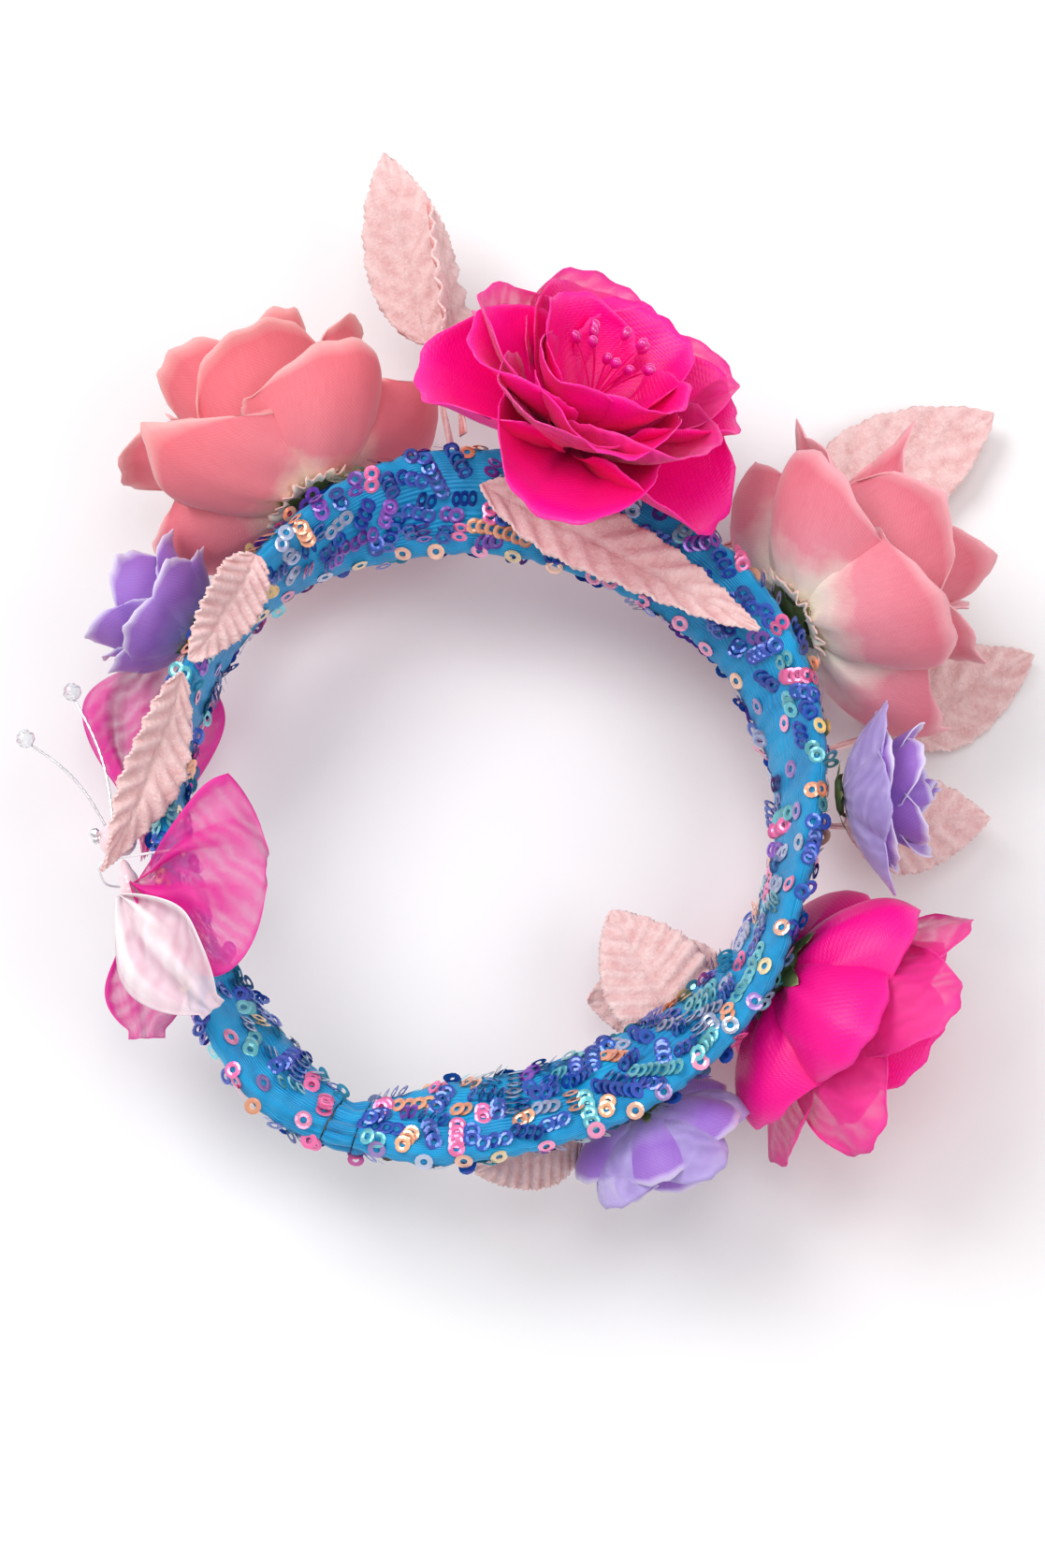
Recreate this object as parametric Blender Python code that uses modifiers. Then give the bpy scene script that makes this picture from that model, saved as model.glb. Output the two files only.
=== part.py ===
"""Flower crown: a stretch headband in a sequinned sleeve, silk roses, velvet leaves and a sheer butterfly.

The band lies level, +Z up, and the origin is the middle of the head opening on the surface the crown lies on.
The front of the crown faces -Y and the sewn joint at the back faces +Y.
Places on the band are distances along it from the middle of its front, in millimetres: positive towards +X.
"""

import math

import bpy
from mathutils import Matrix, Vector

MM = 0.001

# Driving dimensions of the headband
BAND_RADIUS = 92 * MM  # of its middle line, on average
BAND_HEIGHT = 55 * MM  # middle of the band above the table
BAND_WIDTH = 31 * MM
BAND_THICKNESS = 8 * MM
SLEEVE_WALL = 1.2 * MM
FIT_GAP = 0.5 * MM  # left between pieces that touch
FRONT_ANGLE = -90
JOINT_ANGLE = 88  # where the two ends of the band are sewn together
JOINT_HALF_ANGLE = 2.6
GATHER_ANGLE = 14  # over which each end is gathered towards the joint
GATHER_WIDTH = 0.52  # share of the width left at a gathered end
GATHER_FULLNESS = 1.35  # share of the thickness at a gathered end
CORE_WIDTH_SHARE = 0.82
CORE_END_ANGLE = 0.35  # half the gap between the elastic's two ends

# The relaxed band isn't a true circle: angle, millimetres outside BAND_RADIUS, and the
# lean in degrees, which tips its upper edge outwards
BAND_STATIONS = [
    (-90, 1.5, 56),
    (-60, 5.0, 60),
    (-30, 5.5, 14),
    (0, 2.5, 4),
    (30, -0.5, 6),
    (60, 1.5, 32),
    (86, 7.0, 48),
    (98, 0.5, 55),
    (118, -5.5, 55),
    (140, -7.0, 52),
    (165, -5.5, 34),
    (190, -4.0, 14),
    (230, 1.0, 32),
]

# Flower fittings
CALYX_RADIUS = 8.5 * MM
CALYX_HEIGHT = 4.5 * MM
SMALL_CALYX_RADIUS = 6 * MM
SMALL_CALYX_HEIGHT = 2.5 * MM
PEG_RADIUS = 1.7 * MM
PETAL_THICKNESS = 0.8 * MM
LAYER_STEP = 2.6 * MM  # from one petal layer's foot to the next along the peg

# Butterfly
BODY_RADIUS = 4.2 * MM
BODY_LENGTH = 24 * MM
HEAD_RADIUS = 5.5 * MM
EYE_RADIUS = 1.7 * MM
ANTENNA_DIAMETER = 0.9 * MM
BEAD_RADIUS = 2.8 * MM
TIE_DIAMETER = 0.8 * MM
BLADE_THICKNESS = 0.8 * MM  # of leaves and wings

COLOURS = {
    "sequin_blue": (0.0, 0.30, 0.62, 0.45, 0.1),
    "elastic": (0.85, 0.86, 0.88, 0.8, 0.0),
    "coral_silk": (0.86, 0.28, 0.30, 0.7, 0.0),
    "dusty_silk": (0.80, 0.30, 0.36, 0.7, 0.0),
    "fuchsia_satin": (0.90, 0.0, 0.30, 0.4, 0.0),
    "fuchsia_organza": (0.92, 0.05, 0.40, 0.5, 0.0),
    "lavender_silk": (0.36, 0.20, 0.66, 0.6, 0.0),
    "calyx_green": (0.10, 0.17, 0.05, 0.6, 0.0),
    "velvet_leaf": (0.84, 0.46, 0.46, 0.6, 0.0),
    "stamen": (0.75, 0.0, 0.25, 0.25, 0.0),
    "pearl_pink": (0.92, 0.62, 0.68, 0.35, 0.0),
    "sheer_magenta": (0.88, 0.12, 0.50, 0.5, 0.0),
    "sheer_white": (0.92, 0.86, 0.88, 0.5, 0.0),
    "silver_wire": (0.75, 0.75, 0.77, 0.2, 1.0),
    "clear_thread": (0.92, 0.92, 0.92, 0.15, 0.0),
}

for old in list(bpy.data.objects):
    bpy.data.objects.remove(old)
crown = bpy.data.collections.new("flower_crown")
bpy.context.scene.collection.children.link(crown)


def material(name):
    found = bpy.data.materials.get(name)
    if found:
        return found
    red, green, blue, roughness, metallic = COLOURS[name]
    made = bpy.data.materials.new(name)
    made.use_nodes = True
    shader = made.node_tree.nodes["Principled BSDF"]
    shader.inputs["Base Color"].default_value = (red, green, blue, 1)
    shader.inputs["Roughness"].default_value = roughness
    shader.inputs["Metallic"].default_value = metallic
    return made


def add_object(name, data, colour, place=None):
    data.materials.append(material(colour))
    made = bpy.data.objects.new(name, data)
    crown.objects.link(made)
    if place is not None:
        made.matrix_world = place
    return made


def thicken(made, thickness, offset):
    shell = made.modifiers.new("thickness", "SOLIDIFY")
    shell.thickness = thickness
    shell.offset = offset


def grid_mesh(name, point, rows, columns, wrap=False, capped=False):
    """A sheet of quads through point(u, v); v closes on itself with wrap, and capped fills both open ends."""
    across = columns if wrap else columns + 1
    points = [
        point(row / rows, column / columns)
        for row in range(rows + 1)
        for column in range(across)
    ]
    faces = []
    for row in range(rows):
        for column in range(columns):
            after = (column + 1) % across
            faces.append(
                (
                    row * across + column,
                    row * across + after,
                    (row + 1) * across + after,
                    (row + 1) * across + column,
                )
            )
    if capped:
        faces.append(tuple(reversed(range(across))))
        faces.append(tuple(range(rows * across, (rows + 1) * across)))
    mesh = bpy.data.meshes.new(name)
    mesh.from_pydata(points, [], faces)
    mesh.shade_smooth()
    return mesh


def turned_mesh(name, profile, steps):
    """A solid of revolution about Z through (radius, height) points, top to bottom, with both ends on Z."""
    points = [Vector((0, 0, profile[0][1]))]
    for radius, height in profile[1:-1]:
        for step in range(steps):
            turn = 2 * math.pi * step / steps
            points.append(Vector((radius * math.cos(turn), radius * math.sin(turn), height)))
    points.append(Vector((0, 0, profile[-1][1])))
    rings = len(profile) - 2
    faces = []
    for step in range(steps):
        after = (step + 1) % steps
        faces.append((0, 1 + step, 1 + after))
        for ring in range(rings - 1):
            upper, lower = 1 + ring * steps, 1 + (ring + 1) * steps
            faces.append((upper + step, lower + step, lower + after, upper + after))
        last = 1 + (rings - 1) * steps
        faces.append((len(points) - 1, last + after, last + step))
    mesh = bpy.data.meshes.new(name)
    mesh.from_pydata(points, [], faces)
    mesh.shade_smooth()
    return mesh


def polar(angle, radius, height):
    turn = math.radians(angle)
    return Vector((radius * math.cos(turn), radius * math.sin(turn), height))


# The headband


def station_value(angle, column):
    """A smooth periodic curve (Catmull-Rom) through one column of BAND_STATIONS."""
    angle = (angle + 90) % 360 - 90
    count = len(BAND_STATIONS)
    at = max(i for i in range(count) if BAND_STATIONS[i][0] <= angle)
    before, start, end, after = (BAND_STATIONS[(at + i) % count] for i in (-1, 0, 1, 2))
    span = (end[0] - start[0]) % 360
    slope_start = (end[column] - before[column]) / ((end[0] - before[0]) % 360) * span
    slope_end = (after[column] - start[column]) / ((after[0] - start[0]) % 360) * span
    t = (angle - start[0]) / span
    return (
        (2 * t**3 - 3 * t**2 + 1) * start[column]
        + (t**3 - 2 * t**2 + t) * slope_start
        + (3 * t**2 - 2 * t**3) * end[column]
        + (t**3 - t**2) * slope_end
    )


def band_middle(angle):
    return polar(angle, BAND_RADIUS + station_value(angle, 1) * MM, BAND_HEIGHT)


def angle_at(distance):
    """The angle of the place this many millimetres along the band from the middle of its front."""
    return FRONT_ANGLE + math.degrees(distance * MM / BAND_RADIUS)


def band_axes(angle):
    """Unit vectors at this angle: along the band's width, upwards, and out of its outer face."""
    lean = math.radians(station_value(angle, 2))
    outwards = polar(angle, 1, 0)
    width_way = outwards * math.sin(lean) + Vector((0, 0, math.cos(lean)))
    face_way = outwards * math.cos(lean) - Vector((0, 0, math.sin(lean)))
    return width_way, face_way


def gather(angle):
    """Width and thickness shares at this angle: 1 along the band, and gathered at the back joint."""
    away = abs((angle - JOINT_ANGLE + 180) % 360 - 180) - JOINT_HALF_ANGLE
    t = min(1, max(0, away / GATHER_ANGLE))
    t = math.sin(t * math.pi / 2)
    return (
        GATHER_WIDTH + (1 - GATHER_WIDTH) * t,
        GATHER_FULLNESS + (1 - GATHER_FULLNESS) * t,
    )


def band_reach(angle, way):
    """How far the band's section reaches from its middle line in the direction of the unit vector way."""
    width_way, face_way = band_axes(angle)
    return BAND_WIDTH / 2 * abs(width_way.dot(way)) + BAND_THICKNESS / 2 * abs(face_way.dot(way))


def beside_band(side, distance, out, rise):
    """A point off the band. out and rise are millimetres outwards and upwards: for "outside" out counts from
    the band's outermost reach, and for "over" and "under" rise counts from its highest and lowest reach."""
    angle = angle_at(distance)
    outwards, up = polar(angle, 1, 0), Vector((0, 0, 1))
    point = band_middle(angle) + outwards * (out * MM) + up * (rise * MM)
    if side == "outside":
        return point + outwards * band_reach(angle, outwards)
    return point + up * band_reach(angle, up) * (1 if side == "over" else -1)


def band_point(angle, around, inset, width_share=1.0):
    """A point on the band's oval outline, this far inside the sleeve's outer face."""
    width_way, face_way = band_axes(angle)
    wide, thick = gather(angle)
    turn = 2 * math.pi * around
    half_width = (BAND_WIDTH / 2 * wide - inset) * width_share
    half_thickness = BAND_THICKNESS / 2 * thick - inset
    side, front = math.cos(turn), math.sin(turn)
    side = math.copysign(abs(side) ** 0.7, side)
    front = math.copysign(abs(front) ** 0.8, front)
    return band_middle(angle) + width_way * (half_width * side) + face_way * (half_thickness * front)


def make_band():
    first = JOINT_ANGLE + JOINT_HALF_ANGLE
    sweep = 360 - 2 * JOINT_HALF_ANGLE
    sleeve = grid_mesh(
        "sequin_sleeve",
        lambda u, v: band_point(first + sweep * u, v, 0),
        rows=56,
        columns=12,
        wrap=True,
    )
    thicken(add_object("sequin_sleeve", sleeve, "sequin_blue"), SLEEVE_WALL, -1)
    core_first = JOINT_ANGLE + CORE_END_ANGLE
    core_sweep = 360 - 2 * CORE_END_ANGLE
    core = grid_mesh(
        "elastic_core",
        lambda u, v: band_point(
            core_first + core_sweep * u, v, SLEEVE_WALL + 2 * FIT_GAP, CORE_WIDTH_SHARE
        ),
        rows=56,
        columns=8,
        wrap=True,
        capped=True,
    )
    add_object("elastic_core", core, "elastic")
    half = JOINT_HALF_ANGLE - math.degrees(2 * FIT_GAP / band_middle(JOINT_ANGLE).xy.length)
    binding = grid_mesh(
        "joint_binding",
        lambda u, v: band_point(JOINT_ANGLE - half + 2 * half * u, v, 0),
        rows=3,
        columns=12,
        wrap=True,
    )
    thicken(add_object("joint_binding", binding, "sequin_blue"), SLEEVE_WALL, -1)


# Flowers


def flower_place(distance, pitch, yaw=0, roll=0, across=0, out=0):
    """The frame of a flower on the band: +Z out along the flower, its foot just clear of the band.

    pitch lifts the flower's axis, and yaw turns it along the band. across and out are millimetres
    that the foot stands above its natural place and outside it."""
    angle = angle_at(distance)
    turn, rise = math.radians(angle + yaw), math.radians(pitch)
    axis = Vector(
        (math.cos(turn) * math.cos(rise), math.sin(turn) * math.cos(rise), math.sin(rise))
    )
    foot = (
        band_middle(angle)
        + Vector((0, 0, across * MM))
        + axis * (band_reach(angle, axis) + FIT_GAP)
        + polar(angle, out * MM, 0)
    )
    place = axis.to_track_quat("Z", "Y").to_matrix().to_4x4()
    place.translation = foot
    return place @ Matrix.Rotation(math.radians(roll), 4, "Z")


def calyx(name, place, peg_length, radius, height):
    """The moulded green cup that is glued to the band, with the peg that the petal layers are threaded on."""
    profile = [
        (0, height + peg_length),
        (PEG_RADIUS, height + peg_length),
        (PEG_RADIUS, height),
        (radius * 0.94, height * 0.94),
        (radius, height * 0.45),
        (radius * 0.62, 0),
        (0, 0),
    ]
    add_object(name, turned_mesh(name, profile, 14), "calyx_green", place)


def petal_layer(name, place, colour, level, radius, height, lobes, notch=0.3, phase=0.0, droop=0.0):
    """One stamped layer of petals, a scalloped bowl with a hole for the peg. level counts from the calyx,
    and droop is how far the petals' tips fall back towards the calyx."""
    hole = PEG_RADIUS + 2 * FIT_GAP
    foot = FIT_GAP + LAYER_STEP * level

    def point(u, v):
        turn = 2 * math.pi * v
        scallop = abs(math.cos(lobes * (turn - math.radians(phase)) / 2)) ** 0.6
        reach = u * (1 - notch * (1 - scallop)) * math.pi / 2
        out = hole + (radius - hole) * math.sin(reach)
        rise = height * (1 - math.cos(reach)) - droop * math.sin(reach) ** 2
        return Vector((out * math.cos(turn), out * math.sin(turn), foot + rise))

    mesh = grid_mesh(name, point, rows=3, columns=lobes * 5, wrap=True)
    layer = add_object(name, mesh, colour, place)
    thicken(layer, PETAL_THICKNESS, -1)


def bud(name, place, colour, peg_length, radius, height):
    """The rolled centre, seated on the peg's end."""
    foot = peg_length + FIT_GAP
    profile = [
        (0, foot + height),
        (radius * 0.42, foot + height * 0.93),
        (radius * 0.85, foot + height * 0.62),
        (radius, foot + height * 0.34),
        (radius * 0.62, foot + height * 0.06),
        (0, foot),
    ]
    add_object(name, turned_mesh(name, profile, 12), colour, place)


def stamens(name, place, peg_length, count, length, spread):
    """A tuft of pearl-tipped stamens, pleated as one tuft on the peg's end."""
    foot = peg_length + FIT_GAP

    def point(u, v):
        turn = 2 * math.pi * v
        pleat = 1 + 0.22 * math.cos(count * turn) * u
        out = (PEG_RADIUS + (spread - PEG_RADIUS) * u**0.8) * pleat
        return Vector((out * math.cos(turn), out * math.sin(turn), foot + length * u))

    mesh = grid_mesh(name, point, rows=3, columns=count * 3, wrap=True, capped=True)
    add_object(name, mesh, "stamen", place)


def flower_base(name, layers, radius, height, **where):
    """Makes a flower's calyx. Gives the frame of its top, where the petals begin, and the peg's length."""
    place = flower_place(**where)
    peg = layers * LAYER_STEP
    calyx(name + "_calyx", place, peg, radius, height)
    return place @ Matrix.Translation((0, 0, height)), peg


def big_rose(name, colour, size, depth, **where):
    """depth is the flower's own depth as a share of its size."""
    top, peg = flower_base(name, 4, CALYX_RADIUS, CALYX_HEIGHT, **where)
    deep = size * depth
    petal_layer(name + "_outer_petals", top, colour, 0, size, deep * 0.62, 5, notch=0.34)
    petal_layer(name + "_middle_petals", top, colour, 1, size * 0.74, deep * 0.86, 4, phase=40)
    petal_layer(name + "_inner_petals", top, colour, 2, size * 0.5, deep, 4, notch=0.26, phase=10)
    bud(name + "_bud", top, colour, peg, size * 0.26, deep * 0.8)


def small_rose(name, colour, size, **where):
    top, peg = flower_base(name, 3, SMALL_CALYX_RADIUS, SMALL_CALYX_HEIGHT, **where)
    petal_layer(name + "_outer_petals", top, colour, 0, size, size * 0.9, 5, notch=0.36)
    petal_layer(name + "_inner_petals", top, colour, 1, size * 0.66, size, 4, phase=36)
    bud(name + "_bud", top, colour, peg, size * 0.34, size * 0.8)


def open_rose(name, colour, sheer, size, **where):
    """An open rose of satin with one organza layer and a tuft of stamens; its outer petals fall back."""
    top, peg = flower_base(name, 5, CALYX_RADIUS, CALYX_HEIGHT, **where)
    petal_layer(name + "_outer_petals", top, colour, 0, size, size * 0.2, 6, droop=size * 0.28)
    petal_layer(name + "_organza_petals", top, sheer, 1, size * 0.95, size * 0.3, 5, phase=20)
    petal_layer(name + "_middle_petals", top, colour, 2, size * 0.8, size * 0.5, 5, phase=50)
    petal_layer(name + "_inner_petals", top, colour, 3, size * 0.6, size * 0.7, 4, phase=12)
    stamens(name + "_stamens", top, peg, count=8, length=size * 0.5, spread=size * 0.2)


def satin_rose(name, colour, sheer, size, **where):
    top, peg = flower_base(name, 4, CALYX_RADIUS, CALYX_HEIGHT, **where)
    petal_layer(name + "_outer_petals", top, colour, 0, size, size * 0.55, 5)
    petal_layer(name + "_organza_petals", top, sheer, 1, size * 0.9, size * 0.76, 5, phase=36)
    petal_layer(name + "_inner_petals", top, colour, 2, size * 0.66, size * 0.9, 4, phase=10)
    bud(name + "_bud", top, colour, peg, size * 0.22, size * 0.66)


# Leaves and wings


def blade(
    name, start, end, width, colour, roll=0.0, arch=0.0, fold=0.0, widest=0.42, tip_width=0.9, stem=0.0
):
    """A leaf or wing from start to end. roll turns its flat about its length, arch lifts its middle,
    fold raises both margins, widest is where along its length it is broadest, and stem is the share
    of its length that is bare stem."""
    along = (end - start).normalized()
    level = Vector((0, 0, 1)).cross(along).normalized()
    side = Matrix.Rotation(math.radians(roll), 3, along) @ level
    normal = along.cross(side)
    power = math.log(0.5) / math.log(widest)

    def point(u, v):
        grown = max(0, u - stem) / (1 - stem)
        spread = math.sin(math.pi * grown**power) ** 0.75 if 0 < grown < 1 else 0
        half = max(width / 2 * spread, (1.6 if u < 0.5 else tip_width) * MM / 2)
        off = (2 * v - 1) * half
        lift = arch * math.sin(math.pi * u) + fold * abs(off)
        return start.lerp(end, u) + side * off + normal * lift

    mesh = grid_mesh(name, point, rows=9 if stem else 7, columns=4)
    return add_object(name, mesh, colour)


# name, root and tip as (side of the band, distance, out, rise), width, roll, arch, stem
LEAVES = [
    ("front_leaf_long", ("outside", 45, 3, -4), ("outside", 49.5, 104, -18), 27, -12, -4, 0.36),
    ("front_leaf_short", ("outside", 42, 3, 6), ("outside", 44.5, 81, -4), 22, 66, 2, 0.3),
    ("front_cover_leaf", ("over", 38, 1, 2), ("over", -55, 0, 3), 23, -14, 1, 0),
    ("right_leaf_large", ("under", -17, 6, -5), ("outside", -41, 101, -44), 37, 0, -17, 0.46),
    ("right_leaf_small", ("under", -85, 6, -6.5), ("outside", -74.5, 73, -50), 30, 4, -14, 0.4),
    ("right_leaf_low", ("under", -106, 6, -3), ("outside", -102.5, 50, -38), 30, 6, -8, 0.2),
    ("left_leaf_upper", ("over", 104, 2, 5), ("over", 139, 0, 6), 20, -40, 2, 0),
    ("left_leaf_lower", ("over", 143, 1, 6), ("over", 197, 20, 3), 20, -46, 4, 0),
    ("back_leaf", ("under", -227, 8, -4), ("under", -257, 12, -5), 22, -16, -2, 0),
    ("inner_leaf_left", ("under", -186, 2, -3), ("under", -160, -45, -7), 32, 6, 3, 0),
    ("inner_leaf_right", ("under", -160, 0, -9), ("under", -203, -30, -19), 33, -6, 2, 0),
]


def make_leaves():
    for name, root, tip, width, roll, arch, stem in LEAVES:
        start, end = beside_band(*root), beside_band(*tip)
        leaf = blade(name, start, end, width * MM, "velvet_leaf", roll, arch * MM, fold=0.15, stem=stem)
        thicken(leaf, BLADE_THICKNESS, 0)


# The butterfly sits on the band's outer face with its head towards the front. Distances are along the band
BUTTERFLY_RISE = 2
HEAD_DISTANCE = 186
TAIL_DISTANCE = 213
HEAD_TILT = 5  # millimetres that the head stands further out than the tail
ANTENNA_TIPS = {"upper": (165, 38, 6), "lower": (151.5, 29, -4)}

# name, root and tip as (side of the band, distance, out, rise), width, roll, arch, widest
NEAR_WINGS = [
    ("wing_upper_near", ("over", 201, 12, 1), ("over", 209, -26, 8), 62, 0, 6, 0.6),
    ("wing_lower_near", ("over", 204, 16, 4), ("over", 243, 5, 12), 30, 24, 4, 0.55),
]
FAR_WINGS = [
    ("wing_upper_far", ("under", 187, 9, 2), ("under", 132, 19, -15), 46, 14, -3, 0.72),
    ("wing_lower_far", ("outside", 203, 6, -10), ("outside", 232, 13, -12), 24, 10, -2, 0.6),
]


def make_butterfly():
    seat = BODY_RADIUS / MM + 1
    head = beside_band("outside", HEAD_DISTANCE, seat + HEAD_TILT, BUTTERFLY_RISE)
    tail = beside_band("outside", TAIL_DISTANCE, seat, BUTTERFLY_RISE)
    along = (tail - head).normalized()
    ball("butterfly_head", head, HEAD_RADIUS, "pearl_pink")
    middle = head + along * (HEAD_RADIUS + FIT_GAP + BODY_LENGTH / 2)
    body = ball("butterfly_body", middle, BODY_RADIUS, "pearl_pink")
    body.matrix_world = Matrix.Translation(middle) @ along.to_track_quat("Z", "Y").to_matrix().to_4x4()
    body.scale.z = BODY_LENGTH / 2 / BODY_RADIUS
    outwards = polar(angle_at(HEAD_DISTANCE), 1, 0)
    for side, rise in (("upper", 0.55), ("lower", -0.55)):
        eye_way = (outwards - along * 0.25 + Vector((0, 0, rise))).normalized()
        eye = head + eye_way * (HEAD_RADIUS + EYE_RADIUS + FIT_GAP)
        ball("rhinestone_eye_" + side, eye, EYE_RADIUS, "silver_wire")
        antenna(side, head, beside_band("outside", *ANTENNA_TIPS[side]))
    for name, root, tip, width, roll, arch, widest in NEAR_WINGS + FAR_WINGS:
        start, end = beside_band(*root), beside_band(*tip)
        colour = "sheer_white" if name == "wing_lower_near" else "sheer_magenta"
        wing = blade(name, start, end, width * MM, colour, roll, arch * MM, widest=widest, tip_width=12)
        thicken(wing, BLADE_THICKNESS, 0)


def antenna(side, head, tip):
    """A bowed wire from the head, with a faceted bead on its end."""
    way = (tip - head).normalized()
    root = head + way * (HEAD_RADIUS + FIT_GAP)
    end = tip - way * (BEAD_RADIUS + FIT_GAP)
    bow = way.cross(Vector((0, 0, 1))).normalized() * 2.5 * MM
    steps = 10
    path = [
        root.lerp(end, step / steps) + bow * math.sin(math.pi * step / steps) for step in range(steps + 1)
    ]
    rod("antenna_wire_" + side, path, ANTENNA_DIAMETER, "silver_wire")
    ball("antenna_bead_" + side, tip, BEAD_RADIUS, "clear_thread")


def rod(name, points, diameter, colour, closed=False):
    curve = bpy.data.curves.new(name, "CURVE")
    curve.dimensions = "3D"
    curve.bevel_depth = diameter / 2
    curve.bevel_resolution = 2
    curve.use_fill_caps = not closed
    spline = curve.splines.new("POLY")
    spline.points.add(len(points) - 1)
    spline.use_cyclic_u = closed
    for slot, place in zip(spline.points, points):
        slot.co = (*place, 1)
    return add_object(name, curve, colour)


def ball(name, centre, radius, colour):
    profile = [(radius * math.sin(math.pi * i / 6), radius * math.cos(math.pi * i / 6)) for i in range(7)]
    return add_object(name, turned_mesh(name, profile, 12), colour, Matrix.Translation(centre))


TIE_DISTANCE = 194  # where the clear thread is wound round the band and the butterfly's neck


def make_tie_thread():
    """The loop of clear thread that holds the butterfly on the band."""
    angle = angle_at(TIE_DISTANCE)
    outwards, up = polar(angle, 1, 0), Vector((0, 0, 1))
    slack = TIE_DIAMETER / 2 + 2 * FIT_GAP
    inner = band_reach(angle, outwards) + slack
    outer = band_reach(angle, outwards) + 2 * BODY_RADIUS + (HEAD_TILT + 1) * MM + slack
    half_height = band_reach(angle, up) + slack
    middle = band_middle(angle) + outwards * (outer - inner) / 2
    steps = 28
    points = []
    for step in range(steps):
        turn = 2 * math.pi * step / steps
        side, rise = math.cos(turn), math.sin(turn)
        side = math.copysign(abs(side) ** 0.5, side) * (outer + inner) / 2
        rise = math.copysign(abs(rise) ** 0.5, rise) * half_height
        points.append(middle + outwards * side + up * rise)
    rod("tie_thread", points, TIE_DIAMETER, "clear_thread", closed=True)


make_band()
big_rose("coral_rose", "coral_silk", 48 * MM, 1.25, distance=80, pitch=-13, yaw=2, roll=20)
big_rose("dusty_rose", "dusty_silk", 47 * MM, 1.12, distance=-53, pitch=-10, roll=0)
open_rose(
    "fuchsia_rose",
    "fuchsia_satin",
    "fuchsia_organza",
    45 * MM,
    distance=20,
    pitch=50,
    yaw=-25,
    across=5,
    out=5,
)
satin_rose("satin_flower", "fuchsia_satin", "fuchsia_organza", 42 * MM, distance=-154, pitch=-24, roll=20)
small_rose("lavender_rose", "lavender_silk", 24 * MM, distance=127, pitch=-6, across=-2)
small_rose("violet_rose", "lavender_silk", 26 * MM, distance=-105, pitch=6, across=9, out=-1, roll=10)
small_rose("lilac_rose", "lavender_silk", 25 * MM, distance=-208, pitch=-36, roll=30)
make_leaves()
make_butterfly()
make_tie_thread()
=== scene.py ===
# Flower crown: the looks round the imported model. Metres, +Z up, front towards -Y.
import math
import bpy
import numpy as np
from mathutils import Matrix


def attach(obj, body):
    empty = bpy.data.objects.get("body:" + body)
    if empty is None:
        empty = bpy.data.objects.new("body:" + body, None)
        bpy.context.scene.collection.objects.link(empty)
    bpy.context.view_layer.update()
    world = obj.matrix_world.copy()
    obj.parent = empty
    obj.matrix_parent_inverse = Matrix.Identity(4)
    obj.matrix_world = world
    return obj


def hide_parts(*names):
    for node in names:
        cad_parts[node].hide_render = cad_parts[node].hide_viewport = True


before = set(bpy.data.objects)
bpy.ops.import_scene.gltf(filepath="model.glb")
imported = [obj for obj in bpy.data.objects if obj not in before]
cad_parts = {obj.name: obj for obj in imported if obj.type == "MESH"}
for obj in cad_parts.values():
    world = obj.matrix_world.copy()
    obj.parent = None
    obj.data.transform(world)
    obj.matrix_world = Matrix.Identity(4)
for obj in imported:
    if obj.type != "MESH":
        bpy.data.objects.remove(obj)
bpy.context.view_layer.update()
mm = 0.001
dice = np.random.default_rng(2207)

# the band's own line, as the model has it
band = {
    "radius": 92,
    "height": 55,
    "width": 31,
    "thickness": 8,
    "front": -90,
    "joint": 88,
    "jointHalf": 2.6,
    "gatherAngle": 14,
    "gatherWidth": 0.52,
    "gatherFullness": 1.35,
    # angle, millimetres outside the radius, lean of the upper edge outwards
    "stations": np.array(
        [
            (-90, 1.5, 56),
            (-60, 5.0, 60),
            (-30, 5.5, 14),
            (0, 2.5, 4),
            (30, -0.5, 6),
            (60, 1.5, 32),
            (86, 7.0, 48),
            (98, 0.5, 55),
            (118, -5.5, 55),
            (140, -7.0, 52),
            (165, -5.5, 34),
            (190, -4.0, 14),
            (230, 1.0, 32),
        ]
    ),
}


def station(angle, column):
    # Catmull-Rom through the stations, round and round
    s = band["stations"]
    n = len(s)
    angle = (np.asarray(angle, float) + 90) % 360 - 90
    i = np.searchsorted(s[:, 0], angle, side="right") - 1
    p = [s[(i + k) % n] for k in (-1, 0, 1, 2)]
    span = (p[2][..., 0] - p[1][..., 0]) % 360
    slopeA = (p[2][..., column] - p[0][..., column]) / ((p[2][..., 0] - p[0][..., 0]) % 360) * span
    slopeB = (p[3][..., column] - p[1][..., column]) / ((p[3][..., 0] - p[1][..., 0]) % 360) * span
    t = (angle - p[1][..., 0]) / span
    return (
        (2 * t**3 - 3 * t**2 + 1) * p[1][..., column]
        + (t**3 - 2 * t**2 + t) * slopeA
        + (3 * t**2 - 2 * t**3) * p[2][..., column]
        + (t**3 - t**2) * slopeB
    )


def ring(angle, radius=1.0, height=0.0):
    a = np.radians(np.asarray(angle, float))
    out = np.zeros(a.shape + (3,))
    out[..., 0] = np.cos(a) * radius
    out[..., 1] = np.sin(a) * radius
    out[..., 2] = height
    return out


def bandMiddle(angle):
    return ring(angle, (band["radius"] + station(angle, 1)) * mm, band["height"] * mm)


def bandAxes(angle):
    # unit vectors along the width (towards the upper edge) and out of the outer face
    lean = np.radians(station(angle, 2))[..., None]
    out, up = ring(angle), np.array([0, 0, 1.0])
    return out * np.sin(lean) + up * np.cos(lean), out * np.cos(lean) - up * np.sin(lean)


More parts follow.
